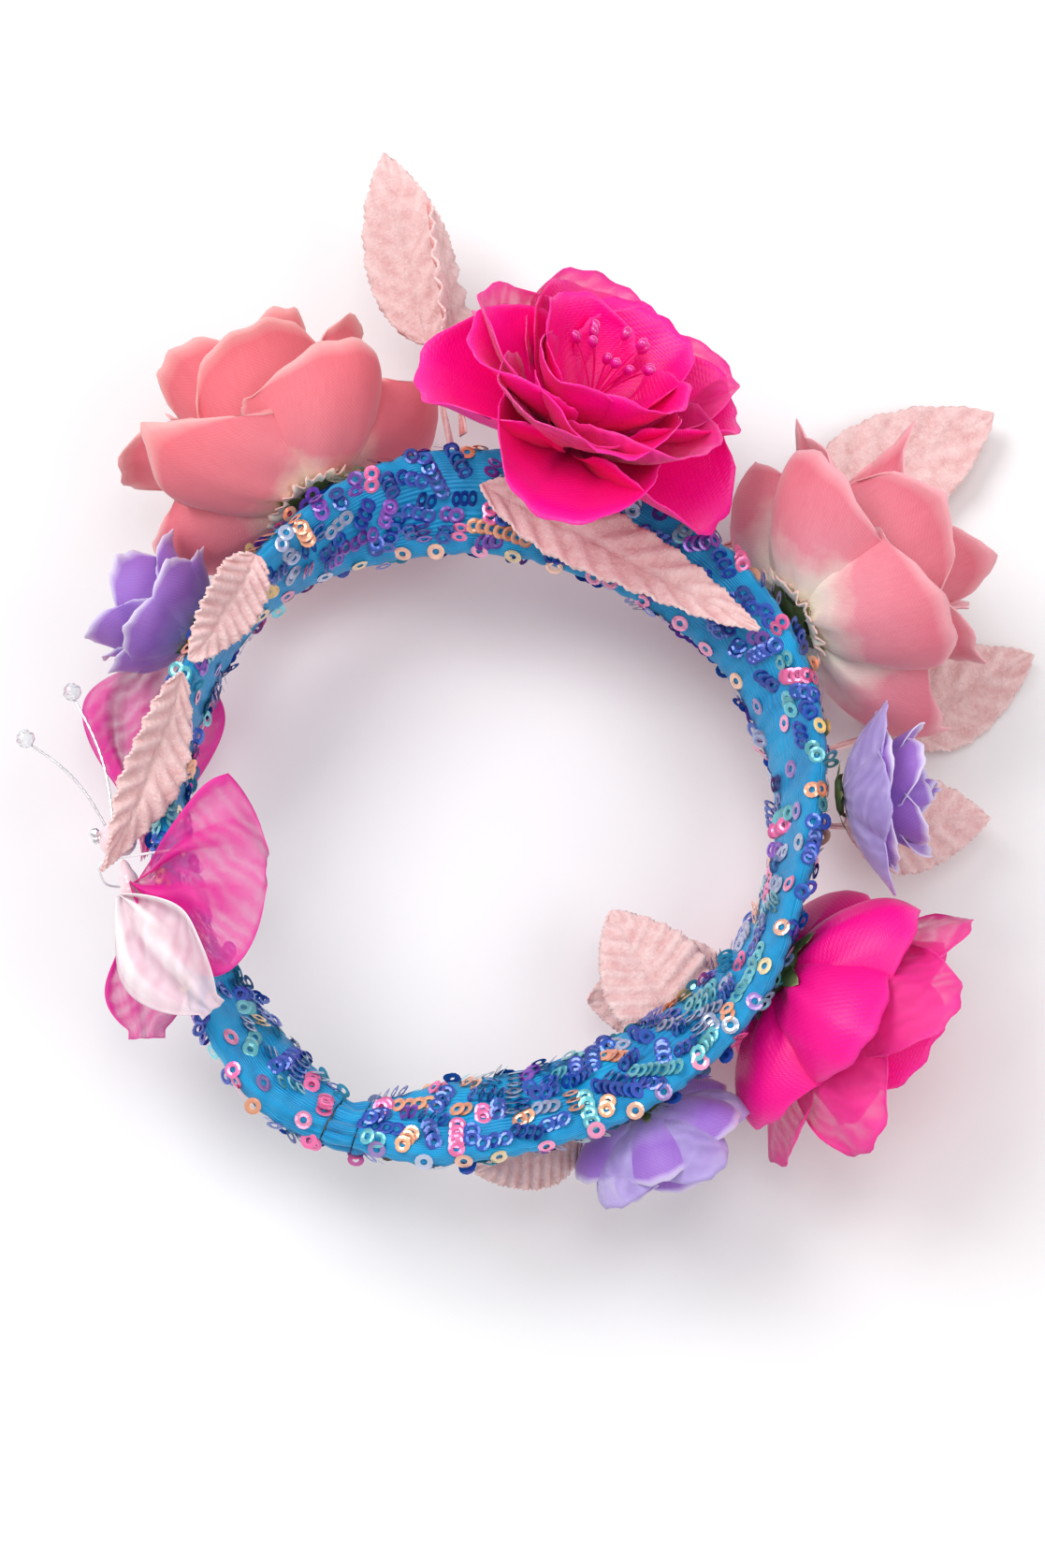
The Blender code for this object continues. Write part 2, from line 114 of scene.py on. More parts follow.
def bandGather(angle):
    away = np.abs((np.asarray(angle, float) - band["joint"] + 180) % 360 - 180) - band["jointHalf"]
    t = np.sin(np.clip(away / band["gatherAngle"], 0, 1) * math.pi / 2)
    wide = band["gatherWidth"] + (1 - band["gatherWidth"]) * t
    return wide, band["gatherFullness"] + (1 - band["gatherFullness"]) * t


def bandPoint(angle, around, lift=0.0):
    # the oval outline of the sleeve, lift metres outside it
    # around 0 is the upper edge, 0.75 the inner face
    width, face = bandAxes(angle)
    wide, thick = bandGather(angle)
    turn = 2 * math.pi * np.asarray(around, float)
    side, front = np.cos(turn), np.sin(turn)
    side = np.sign(side) * np.abs(side) ** 0.7
    front = np.sign(front) * np.abs(front) ** 0.8
    a = (band["width"] / 2 * mm * wide + lift) * side
    b = (band["thickness"] / 2 * mm * thick + lift) * front
    return bandMiddle(angle) + width * a[..., None] + face * b[..., None]


def angleAt(distance):
    return band["front"] + math.degrees(distance / band["radius"])


def bandReach(angle, way):
    width, face = bandAxes(angle)
    return (band["width"] / 2 * abs(width @ way) + band["thickness"] / 2 * abs(face @ way)) * mm


def besideBand(side, distance, out, rise):
    angle = angleAt(distance)
    outwards, up = ring(angle), np.array([0, 0, 1.0])
    point = bandMiddle(angle) + outwards * out * mm + up * rise * mm
    if side == "outside":
        return point + outwards * bandReach(angle, outwards)
    return point + up * bandReach(angle, up) * (1 if side == "over" else -1)


# meshes


def unit(v):
    return v / np.maximum(np.linalg.norm(v, axis=-1, keepdims=True), 1e-12)


def placeOf(origin, z, x):
    # a 4 x 4 place from its origin, its Z and its X
    place = np.eye(4)
    place[:3] = np.stack([x, np.cross(z, x), z, origin], 1)
    return place


def placed(points, place):
    return points @ place[:3, :3].T + place[:3, 3]


def gridFaces(rows, columns, wrap=False):
    # quads of a rows x columns grid of points, closed round its columns with wrap
    last = columns if wrap else columns - 1
    r, c = np.meshgrid(np.arange(rows - 1), np.arange(last), indexing="ij")
    nxt = (c + 1) % columns
    quads = np.stack(
        [r * columns + c, r * columns + nxt, (r + 1) * columns + nxt, (r + 1) * columns + c], -1
    )
    return quads.reshape(-1, 4)


rest = {"floor": 0.5 * mm, "give": 1.2 * mm}


def thickened(points, quads, wall):
    # a sheet of quads given two faces, half the wall either side, and closed by a flat rim
    n = len(points)
    faceNormal = np.cross(
        points[quads[:, 2]] - points[quads[:, 0]], points[quads[:, 3]] - points[quads[:, 1]]
    )
    normal = np.zeros_like(points)
    for k in range(4):
        np.add.at(normal, quads[:, k], faceNormal)
    normal = unit(normal) * wall / 2
    edges = np.concatenate([quads[:, [k, (k + 1) % 4]] for k in range(4)])
    keys = np.sort(edges, 1) @ np.array([n, 1])
    _, first, count = np.unique(keys, return_index=True, return_counts=True)
    a, b = edges[first[count == 1]].T
    rim = np.stack([b, a, a + n, b + n], 1)
    faces = np.concatenate([quads, quads[:, ::-1] + n, rim])
    finish = np.concatenate([np.zeros(len(quads), int), np.ones(len(quads) + len(rim), int)])
    return np.concatenate([points + normal, points - normal]), faces, finish, len(rim)


def addPiece(name, parts, material, body, replaced=(), wall=0.0, smooth=True):
    # parts: (points, faces, uv per point, values per point by name) joined into one object
    points, faces, uvs, values, start = [], [], [], {}, 0
    for part in parts:
        p, f = part[0].reshape(-1, 3), part[1]
        points.append(p)
        faces += [tuple(int(i) + start for i in face) for face in f]
        uvs.append(part[2].reshape(-1, 2) if part[2] is not None else np.zeros((len(p), 2)))
        for key, value in (part[3] or {}).items():
            values.setdefault(key, []).append(np.asarray(value, float).reshape(len(p), -1))
        start += len(p)
    points, uvs = np.concatenate(points), np.concatenate(uvs)
    values = {key: np.concatenate(value) for key, value in values.items()}
    finish, rimFaces = np.zeros(len(faces), int), 0
    if wall:
        # cloth that would dip under the table is pressed flat on it
        points[:, 2] = rest["floor"] + rest["give"] * np.logaddexp(
            0, (points[:, 2] - rest["floor"]) / rest["give"]
        )
        points, faces, finish, rimFaces = thickened(points, np.array(faces), wall)
        uvs = np.tile(uvs, (2, 1))
        values = {key: np.tile(value, (2, 1)) for key, value in values.items()}
    mesh = bpy.data.meshes.new(name)
    mesh.from_pydata(points.tolist(), [], faces if isinstance(faces, list) else faces.tolist())
    corner = np.zeros(len(mesh.loops), np.int32)
    mesh.loops.foreach_get("vertex_index", corner)
    layer = mesh.uv_layers.new(name="flat")
    layer.data.foreach_set("uv", uvs[corner].astype(np.float32).ravel())
    for key, value in values.items():
        if value.shape[1] == 1:
            made = mesh.attributes.new(key, "FLOAT", "POINT")
            made.data.foreach_set("value", value.astype(np.float32).ravel())
        else:
            made = mesh.attributes.new(key, "FLOAT_COLOR", "POINT")
            rgba = np.concatenate([value, np.ones((len(value), 1))], 1)
            made.data.foreach_set("color", rgba.astype(np.float32).ravel())
    soft = np.full(len(faces), smooth)
    if rimFaces:
        soft[-rimFaces:] = False
    mesh.polygons.foreach_set("use_smooth", soft)
    finishes = material if isinstance(material, (list, tuple)) else [material]
    for m in finishes:
        mesh.materials.append(m)
    mesh.polygons.foreach_set("material_index", np.minimum(finish, len(finishes) - 1).astype(np.int32))
    piece = bpy.data.objects.new(name, mesh)
    bpy.context.scene.collection.objects.link(piece)
    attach(piece, body)
    if replaced:
        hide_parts(*([replaced] if isinstance(replaced, str) else replaced))
    return piece


def tube(path, radius, sides=8):
    # a closed round bar along a path of points, radius one number or one a point
    path = np.asarray(path, float)
    way = unit(np.gradient(path, axis=0))
    side = unit(np.cross(way, np.array([0.12, 0.31, 0.94])))
    other = np.cross(way, side)
    turn = np.linspace(0, 2 * math.pi, sides, endpoint=False)
    radius = np.broadcast_to(radius, len(path))[:, None, None]
    loops = path[:, None] + radius * (
        side[:, None] * np.cos(turn)[:, None] + other[:, None] * np.sin(turn)[:, None]
    )
    n = len(path)
    faces = [tuple(f) for f in gridFaces(n, sides, wrap=True)]
    faces += [tuple(reversed(range(sides))), tuple(range((n - 1) * sides, n * sides))]
    u = np.linspace(0, 1, n)[:, None] * np.ones(sides)
    v = np.ones(n)[:, None] * np.linspace(0, 1, sides)
    return loops, faces, np.stack([v, u], -1), None


def turned(profile, sides, place):
    # a solid of revolution through (radius, height) pairs from the top down, set in a 4 x 4 place
    profile = np.asarray(profile, float)
    turn = np.linspace(0, 2 * math.pi, sides, endpoint=False)
    inner = profile[1:-1]
    rings = np.stack(
        [
            inner[:, :1] * np.cos(turn),
            inner[:, :1] * np.sin(turn),
            np.repeat(inner[:, 1:], sides, 1),
        ],
        -1,
    ).reshape(-1, 3)
    points = np.concatenate([rings, [[0, 0, profile[0, 1]], [0, 0, profile[-1, 1]]]])
    n, top = len(inner), len(rings)
    faces = [tuple(f[::-1]) for f in gridFaces(n, sides, wrap=True)]
    step = np.arange(sides)
    nxt = (step + 1) % sides
    faces += [(top, a, b) for a, b in zip(step.tolist(), nxt.tolist())]
    last = (n - 1) * sides
    faces += [(top + 1, last + b, last + a) for a, b in zip(step.tolist(), nxt.tolist())]
    uv = np.zeros((len(points), 2))
    return placed(points, place), faces, uv, None


def ballPart(centre, radius, rings=8, sides=12):
    a = np.linspace(0, math.pi, rings + 1)
    profile = np.stack([radius * np.sin(a), radius * np.cos(a)], 1)
    return turned(profile, sides, placeOf(centre, [0, 0, 1], [1, 0, 0]))


# finishes


def newMaterial(name, **sockets):
    made = bpy.data.materials.new(name)
    made.use_nodes = True
    shader = made.node_tree.nodes["Principled BSDF"]
    for key, value in sockets.items():
        shader.inputs[key.replace("_", " ")].default_value = value
    return made, made.node_tree, shader


def node(tree, kind, **facts):
    made = tree.nodes.new(kind)
    for key, value in facts.items():
        if hasattr(made, key):
            setattr(made, key, value)
        else:
            made.inputs[key.replace("_", " ")].default_value = value
    return made


def ramp(tree, factor, stops):
    made = tree.nodes.new("ShaderNodeValToRGB")
    while len(made.color_ramp.elements) < len(stops):
        made.color_ramp.elements.new(0.5)
    for element, (position, colour) in zip(made.color_ramp.elements, stops):
        element.position = position
        element.color = (*colour, 1) if len(colour) == 3 else colour
    tree.links.new(factor, made.inputs[0])
    return made.outputs[0]


def mixed(tree, factor, a, b, blend="MIX"):
    made = tree.nodes.new("ShaderNodeMix")
    made.data_type = "RGBA"
    made.blend_type = blend
    for index, value in ((0, factor), (6, a), (7, b)):
        if isinstance(value, (int, float)):
            made.inputs[index].default_value = value
        elif isinstance(value, tuple):
            made.inputs[index].default_value = (*value, 1)
        else:
            tree.links.new(value, made.inputs[index])
    return made.outputs[2]


def math2(tree, kind, a, b=0.0, c=None):
    made = tree.nodes.new("ShaderNodeMath")
    made.operation = kind
    for index, value in enumerate((a, b, c)):
        if value is None:
            continue
        if isinstance(value, (int, float)):
            made.inputs[index].default_value = value
        else:
            tree.links.new(value, made.inputs[index])
    return made.outputs[0]


def times(tree, a, b):
    return math2(tree, "MULTIPLY", a, b)


def plus(tree, a, b):
    return math2(tree, "ADD", a, b)


def scaledUv(tree, x, y):
    # the cloth's own flat coordinates are in millimetres
    uv = node(tree, "ShaderNodeUVMap", uv_map="flat")
    mapping = tree.nodes.new("ShaderNodeMapping")
    mapping.inputs["Scale"].default_value = (x, y, 1)
    tree.links.new(uv.outputs[0], mapping.inputs[0])
    return mapping.outputs[0]


def noise(tree, vector, scale, detail=3.0, rough=0.55):
    made = node(tree, "ShaderNodeTexNoise", Scale=scale, Detail=detail, Roughness=rough)
    tree.links.new(vector, made.inputs["Vector"])
    return made.outputs["Fac"]


def wave(tree, vector, scale, direction="X", distortion=0.0):
    made = node(tree, "ShaderNodeTexWave", bands_direction=direction, Scale=scale, Distortion=distortion)
    tree.links.new(vector, made.inputs["Vector"])
    return made.outputs["Fac"]


def bump(tree, shader, height, strength, distance):
    made = node(tree, "ShaderNodeBump", Strength=strength, Distance=distance)
    tree.links.new(height, made.inputs["Height"])
    tree.links.new(made.outputs[0], shader.inputs["Normal"])


def paint(tree, shader, colour):
    tree.links.new(colour, shader.inputs["Base Color"])


def attribute(tree, name, output="Fac"):
    return node(tree, "ShaderNodeAttribute", attribute_name=name).outputs[output]


def objectCoords(tree):
    return tree.nodes.new("ShaderNodeTexCoord").outputs["Object"]


def clothMaterial(
    name, stops, edge, shadow, sheen=0.25, rough=0.75, weave=0.5, subsurface=0.12, twill=0.3
):
    # pressed silk: dyed from base to tip, a fine weave, mottling, and a paler cut edge
    made, tree, shader = newMaterial(
        name,
        Roughness=rough,
        Sheen_Weight=sheen,
        Sheen_Roughness=0.4,
        Subsurface_Weight=subsurface,
        Subsurface_Scale=0.004,
        Specular_IOR_Level=0.35,
    )
    shader.inputs["Subsurface Radius"].default_value = (1.0, 0.4, 0.35)
    grown = attribute(tree, "grown")
    flat = scaledUv(tree, 1, 1)
    mottle = noise(tree, flat, 0.11, 4.0)
    shifted = plus(tree, grown, times(tree, math2(tree, "SUBTRACT", mottle, 0.5), 0.28))
    colour = ramp(tree, shifted, stops)
    streak = noise(tree, scaledUv(tree, 1.6, 0.16), 1.0, 4.0)
    colour = mixed(tree, times(tree, streak, times(tree, grown, 0.55)), colour, shadow, "MULTIPLY")
    threads = times(
        tree, wave(tree, flat, weave, "DIAGONAL", 0.3), wave(tree, flat, weave * 1.3, "Y", 0.5)
    )
    colour = mixed(tree, times(tree, threads, twill), colour, (1, 1, 1), "SOFT_LIGHT")
    rim = attribute(tree, "rim")
    rim = math2(tree, "SMOOTH_MAX", math2(tree, "SUBTRACT", times(tree, rim, 10.0), 9.0), 0.0, 0.05)
    colour = mixed(tree, times(tree, rim, 0.8), colour, edge)
    paint(tree, shader, colour)
    height = plus(tree, times(tree, threads, twill), streak)
    bump(tree, shader, height, 0.35, 0.00035)
    return made


def sheerMaterial(name, thin, dense, openness, rough=0.4, threadStep=1.2):
    # woven organza: fine threads with gaps, watered where two layers cross, thick in its folds
    made, tree, shader = newMaterial(
        name, Roughness=rough, Sheen_Weight=0.3, Sheen_Roughness=0.3, Specular_IOR_Level=0.5
    )
    flat = scaledUv(tree, 1, 1)
    cloud = noise(tree, flat, 0.13, 3.0)
    watered = wave(tree, flat, 0.09, "DIAGONAL", 7.0)
    fold = attribute(tree, "fold")
    rim = math2(tree, "POWER", attribute(tree, "rim"), 12.0)
    colour = mixed(tree, plus(tree, times(tree, cloud, 0.6), fold), thin, dense)
    paint(tree, shader, colour)
    threads = math2(
        tree, "MAXIMUM", wave(tree, flat, threadStep, "X", 0.4), wave(tree, flat, threadStep, "Y", 0.4)
    )
    cover = times(tree, threads, 1 - openness)
    cover = plus(tree, cover, times(tree, times(tree, cloud, watered), 0.35))
    cover = plus(tree, cover, times(tree, rim, 0.45))
    cover = plus(tree, cover, times(tree, fold, 0.6))
    tree.links.new(math2(tree, "MINIMUM", cover, 1.0), shader.inputs["Alpha"])
    bump(tree, shader, threads, 0.3, 0.0002)
    return made


# petals


# a petal's blank and how it is pressed; each flower names only what differs
petalBlank = {
    "rows": 26,
    "columns": 21,
    "shoulder": 0.62,  # share of the length at which the full width is reached
    "base": 0.22,  # width at the foot, as a share
    "round": 0.3,  # how far the corners fall back
    "point": 0,
    "bend": 1.0,
    "curl": 0,  # degrees that the tip rolls outwards
    "r0": 2.5,
    "cup0": 22,  # radius across the petal, at the foot and at the tip
    "cup1": 30,
    "roll": 2.0,
    "ruffle": 1.0,
    "crease": 0.7,
    "foot": 0,
}


def petalPart(p, place):
    # a stamped petal: its flat outline (across, along) is bent up its spine and cupped round it.
    # length, width, foot and the rest are millimetres; phi0 and phi1 are its lean from the flower's axis
    p = {**petalBlank, **p}
    rows, columns = p["rows"], p["columns"]
    u, v = np.linspace(0, 1, rows)[:, None], np.linspace(-1, 1, columns)[None, :]
    luck = np.random.default_rng(p["seed"])
    phase = luck.uniform(0, 6.28, 6)
    length, width = p["length"], p["width"]
    shoulder = np.sin(np.clip(u / p["shoulder"], 0, 1) * math.pi / 2) ** 0.9
    blank = p["base"] + (1 - p["base"]) * shoulder
    blank = blank * (1 - 0.16 * np.clip((u - 0.7) / 0.3, 0, 1) ** 2)
    ragged = 1 + 0.012 * np.sin(u * 23 + phase[0]) + 0.008 * np.sin(u * 51 + phase[1])
    across = v * width / 2 * blank * ragged
    s = u * (1 - p["round"] * np.abs(v) ** 2.4)
    s = s + p["point"] / length * np.exp(-((v / 0.15) ** 2)) * u**9
    s = s * (1 + 0.012 * np.sin(v * 13 + phase[2]) * u**4)
    t = np.linspace(0, 1.3, 260)
    lean = p["phi0"] + (p["phi1"] - p["phi0"]) * np.clip(t, 0, 1) ** p["bend"]
    lean = np.radians(lean + p["curl"] * np.clip((t - 0.76) / 0.24, 0, 1.2) ** 1.5)
    step = t[1] * length
    out = p["r0"] + np.concatenate([[0], np.cumsum(np.sin(lean[1:]) * step)])
    rise = np.concatenate([[0], np.cumsum(np.cos(lean[1:]) * step)])
    phi = np.interp(s, t, lean)
    cup = p["cup0"] + (p["cup1"] - p["cup0"]) * u
    turn = across / cup
    near = np.clip((np.maximum(np.abs(v) * np.clip(u * 3, 0, 1), u) - 0.72) / 0.28, 0, 1)
    off = -cup * (1 - np.cos(turn)) + p["roll"] * near**2
    wavy = np.sin(v * 4.2 + phase[3]) * 0.6 + np.sin(v * 7.5 + u * 3 + phase[4]) * 0.4
    off = off + p["ruffle"] * u**2 * wavy * (0.35 + 0.65 * np.abs(v))
    pleat = np.sin(v * 15 + u * 2.5 + phase[5]) + 0.6 * np.sin(v * 27 + u * 4 + phase[1])
    off = off + p["crease"] * pleat * (np.exp(-((u - 0.25) ** 2) / 0.05) + 0.25)
    r = np.interp(s, t, out) + off * np.cos(phi)
    z = np.interp(s, t, rise) - off * np.sin(phi) + p["foot"]
    side = cup * np.sin(turn)
    az = math.radians(p["az"])
    points = np.stack(
        [r * math.cos(az) - side * math.sin(az), r * math.sin(az) + side * math.cos(az), z], -1
    ) * mm
    points = placed(points, place)
    rim = np.maximum(np.abs(v) ** 1.5 * np.clip(u * 4, 0, 1), u + 0 * v)
    uv = np.stack([across + 60 * luck.uniform(), s * length], -1)
    gathers = np.clip(pleat, 0, 1) * np.exp(-u * 3)
    return points, gridFaces(rows, columns), uv, {"grown": s + 0 * v, "rim": rim, "fold": gathers}


def petalRing(count, start, spec, place, seed, overrides=None):
    # count petals round the axis, every second one tucked a little under its neighbours
    parts = []
    for i in range(count):
        luck = np.random.default_rng(seed * 100 + i)
        p = dict(spec, seed=seed * 100 + i)
        p["az"] = start + 360 * i / count + luck.uniform(-5, 5)
        p["foot"] = spec.get("foot", 0) + 0.5 * (i % 2)
        p["phi0"] = spec["phi0"] + 4 * (i % 2) + luck.uniform(-2, 2)
        p["phi1"] = spec["phi1"] + 5 * (i % 2) + luck.uniform(-5, 5)
        p["length"] = spec["length"] * luck.uniform(0.95, 1.05)
        p.update((overrides or {}).get(i, {}))
        parts.append(petalPart(p, place))
    return parts


def rolledCentre(radius, height, foot, turns, place, taper=0.55):
    # the wound heart of a rose: one strip rolled up, its top edge rising and falling
    rows, columns = 16, int(46 * turns)
    u, t = np.linspace(0, 1, rows)[:, None], np.linspace(0, 1, columns)[None, :]
    turn = t * turns * 2 * math.pi
    belly = np.sin(np.clip(u * 0.9 + 0.12, 0, 1) * math.pi) ** 0.5
    r = (0.6 + (radius - 0.6) * t**0.8) * (taper + (1 - taper) * belly)
    r = r + 0.5 * np.sin(turn * 2.5) * u
    z = foot + height * u * (1 - 0.14 * t + 0.05 * np.sin(turn * 1.4 + 1))
    points = np.stack([r * np.cos(turn), r * np.sin(turn), z + 0 * t], -1) * mm
    points = placed(points, place)
    uv = np.stack([t * turns * radius * 4 + 0 * u, u * height + 0 * t], -1)
    values = {"grown": 0.45 + 0.5 * u + 0 * t, "rim": u + 0 * t, "fold": 0 * u * t}
    return points, gridFaces(rows, columns), uv, values


def flowerPlace(distance, pitch, yaw=0, across=0, out=0, top=0):
    # local Z runs out along the flower and local X is its uppermost side; the origin is the calyx's foot
    angle = angleAt(distance)
    turn, lift = math.radians(angle + yaw), math.radians(pitch)
    axis = np.array([math.cos(turn) * math.cos(lift), math.sin(turn) * math.cos(lift), math.sin(lift)])
    foot = bandMiddle(angle) + np.array([0, 0, across * mm])
    foot = foot + axis * (bandReach(angle, axis) + 0.5 * mm) + ring(angle, out * mm)
    x = unit(np.array([0, 0, 1.0]) - axis * axis[2])
    return placeOf(foot + axis * top * mm, axis, x)


def calyxParts(radius, height, place, sepals, sepalLength):
    # a moulded cup with sepals that lie back along the petals
    profile = [(0, height + 3), (1.6, height + 3), (1.7, height), (radius * 0.9, height * 0.98)]
    profile += [(radius, height * 0.8), (radius * 0.98, height * 0.45), (radius * 0.7, 0.3), (0, 0)]
    parts = [turned(np.array(profile) * mm, 28, place)]
    shifted = place.copy()
    shifted[:3, 3] += place[:3, 2] * height * 0.35 * mm
    for i in range(sepals):
        p = dict(length=sepalLength, width=sepalLength * 0.62, az=360 / sepals * i + 14, phi0=88, phi1=66)
        p.update(r0=radius * 0.55, cup0=9, cup1=14, base=0.6, round=0.5, roll=0, ruffle=0.5, crease=0.12)
        p.update(rows=14, columns=9, seed=900 + i, point=1)
        parts.append(petalPart(p, shifted))
    return parts


def fillValues(parts, keys):
    # parts without their own values get plain ones, so that every part has the same attributes
    done = []
    for points, faces, uv, values in parts:
        n = len(points.reshape(-1, 3))
        values = dict(values or {})
        for key in keys:
            values.setdefault(key, np.zeros(n))
        done.append((points, faces, uv, values))
    return done


def frillPart(radius, foot, place, seed, wide=4.5):
    # the frayed cream hem of the lowest petals, crumpled round the calyx
    luck = np.random.default_rng(seed)
    rows, columns = 5, 150
    u, t = np.linspace(0, 1, rows)[:, None], np.linspace(0, 1, columns, endpoint=False)[None, :]
    turn = t * 2 * math.pi
    a, b, c = luck.uniform(0, 6.28, 3)
    crumple = np.sin(turn * 17 + a) + 0.7 * np.sin(turn * 29 + b) + 0.4 * np.sin(turn * 47 + c)
    r = radius + wide * u * (1 + 0.22 * np.sin(turn * 23 + b)) + 0.25 * crumple * u
    z = foot + 0.55 * crumple * u - 1.2 * u
    points = np.stack([r * np.cos(turn), r * np.sin(turn), z], -1) * mm
    points = placed(points, place)
    uv = np.stack([t * radius * 6 + 0 * u, u * wide + 0 * t], -1)
    values = {"grown": 0 * u * t + 0.02, "rim": u + 0 * t, "fold": 0 * u * t}
    return points, gridFaces(rows, columns, wrap=True), uv, values


# leaves and wings


# a leaf or wing; each one names only what differs
bladeBlank = {
    "rows": 120,
    "columns": 19,
    "roll": 0,
    "stem": 0,
    "widest": 0.42,  # share of the length
    "full": 0.75,  # lower is blunter
    "tip": 0.45,
    "teeth": 0,
    "teethCount": 40,
    "notch": 0,
    "arch": 0,
    "fold": 0.15,
    "veins": 9,
    "veinLift": 0,
    "midrib": 0,
    "gathers": 6,
    "gather": 0,  # height of the gathers
    "wobble": 0,
    "curlEdge": 0,
}


def bladePart(p, start, end):
    # a leaf or wing from start to end, as wide as the model's, with its own margin, veins and gathers
    p = {**bladeBlank, **p}
    rows, columns = p["rows"], p["columns"]
    u, v = np.linspace(0, 1, rows)[:, None], np.linspace(-1, 1, columns)[None, :]
    along = unit(end - start)
    length = np.linalg.norm(end - start) / mm
    level = unit(np.cross([0, 0, 1.0], along))
    roll = math.radians(p["roll"])
    sideWay = level * math.cos(roll) + np.cross(along, level) * math.sin(roll)
    normal = np.cross(along, sideWay)
    stem, widest = p["stem"], p["widest"]
    grown = np.clip((u - stem) / (1 - stem), 0, 1)
    spread = np.sin(math.pi * grown ** (math.log(0.5) / math.log(widest))).clip(0) ** p["full"]
    half = np.maximum(p["width"] / 2 * spread, np.where(u < 0.5, 0.8, p["tip"]))
    outer = np.clip((np.abs(v) - 0.8) / 0.2, 0, 1)
    teeth = p["teeth"] * ((u * p["teethCount"]) % 1 - 0.5) * outer * (spread > 0.12)
    off = v * half * (1 + 0 * u) + np.sign(v) * teeth
    off = off * (1 - p["notch"] * np.clip(v * 3, 0, 1) * np.clip(1.25 - 1.6 * u, 0, 1) ** 0.7)
    lift = p["arch"] * np.sin(math.pi * u) + p["fold"] * np.abs(off)
    luck = np.random.default_rng(p["seed"])
    phase = luck.uniform(0, 6.28, 6)
    vein = np.sin((u * p["veins"] - np.abs(v) * 1.3) * 2 * math.pi)
    lift = lift + p["veinLift"] * vein * np.clip(spread * 1.4, 0, 1) * np.abs(v) ** 0.5
    lift = lift - p["midrib"] * np.exp(-((v / 0.07) ** 2)) * spread
    gather = np.sin(v * p["gathers"] + phase[0] + u * 1.5) + 0.5 * np.sin(v * 11 + phase[1] - u * 3)
    lift = lift + p["gather"] * gather * (0.35 + 0.65 * (1 - u))
    lift = lift + p["wobble"] * (np.sin(u * 7 + phase[2]) * v + np.sin(u * 12 + v * 2.5 + phase[3]) * 0.5)
    lift = lift + p["curlEdge"] * np.clip(v, 0, 1) ** 3 * spread
    points = start + (end - start) * u[..., None] + sideWay * off[..., None] * mm
    points = points + normal * (lift + 0 * v)[..., None] * mm
    rim = np.maximum(np.abs(v) + 0 * u, np.clip((u - 0.9) / 0.1, 0, 1))
    crest = np.clip(gather * p["gather"], 0, 1) * (1 - u)
    uv = np.stack([off + 0 * u, u * length + 0 * v], -1)
    return points, gridFaces(rows, columns), uv, {
        "grown": grown + 0 * v, "rim": rim, "fold": crest, "vein": 0.5 + 0.5 * vein
    }


# the knit sleeve and its sewn seam

sleeve = {
    "steps": 560,
    "sides": 66,
    "pucker": 0.32,
    "seamPucker": 0.9,
    "wall": 0.8,
    "girth": 68,
    "binding": 4.6,  # degrees that the binding covers
    "bindingSteps": 14,
}


def knitLift(angle, around):
    # shallow puckers where the sequins are sewn, and deep ones that fan out of the joint
    a = np.radians(angle)
    w = 2 * math.pi * around
    small = np.sin(
        a * 61 + 3 * np.sin(w + 1)
    ) * np.sin(w * 4 + 2 * np.sin(a * 17)) + 0.6 * np.sin(a * 97 - w * 3)
    away = np.abs((angle - band["joint"] + 180) % 360 - 180)
    fan = np.sin(w * 8 + 1.5 * np.sin(a * 9)) * np.exp(-away / 9)
    return (sleeve["pucker"] * small + sleeve["seamPucker"] * fan) * mm


def sleevePart(first, sweep, rows, lift=0.0):
    angle = first + sweep * np.linspace(0, 1, rows)[:, None]
    around = np.linspace(0, 1, sleeve["sides"], endpoint=False)[None, :]
    angle, around = np.broadcast_arrays(angle, around)
    points = bandPoint(angle, around, knitLift(angle, around) + lift)
    uv = np.stack([np.radians(angle) * band["radius"], around * 70], -1)
    return points, gridFaces(rows, sleeve["sides"], wrap=True), uv, None


def knitMaterial():
    made, tree, shader = newMaterial(
        "turquoise knit",
        Roughness=0.5, Sheen_Weight=0.2, Specular_IOR_Level=0.5, Sheen_Roughness=0.3,
    )
    flat = scaledUv(tree, 1, 1)
    ribs = wave(tree, flat, 0.34, "Y", 0.5)
    stitches = wave(tree, flat, 0.9, "X", 0.8)
    cloud = noise(tree, flat, 0.09, 3.0)
    colour = ramp(
        tree, cloud, [(0.3, (0.0, 0.18, 0.46)), (0.55, (0.0, 0.30, 0.64)), (0.8, (0.0, 0.42, 0.76))]
    )
    # painted highlight: the rib crests are mixed towards a lighter blue
    colour = mixed(tree, times(tree, ribs, 0.45), colour, (0.0, 0.42, 0.80))
    paint(tree, shader, colour)
    height = plus(tree, ribs, times(tree, stitches, 0.3))
    bump(tree, shader, height, 0.55, 0.0004)
    return made


# sequins

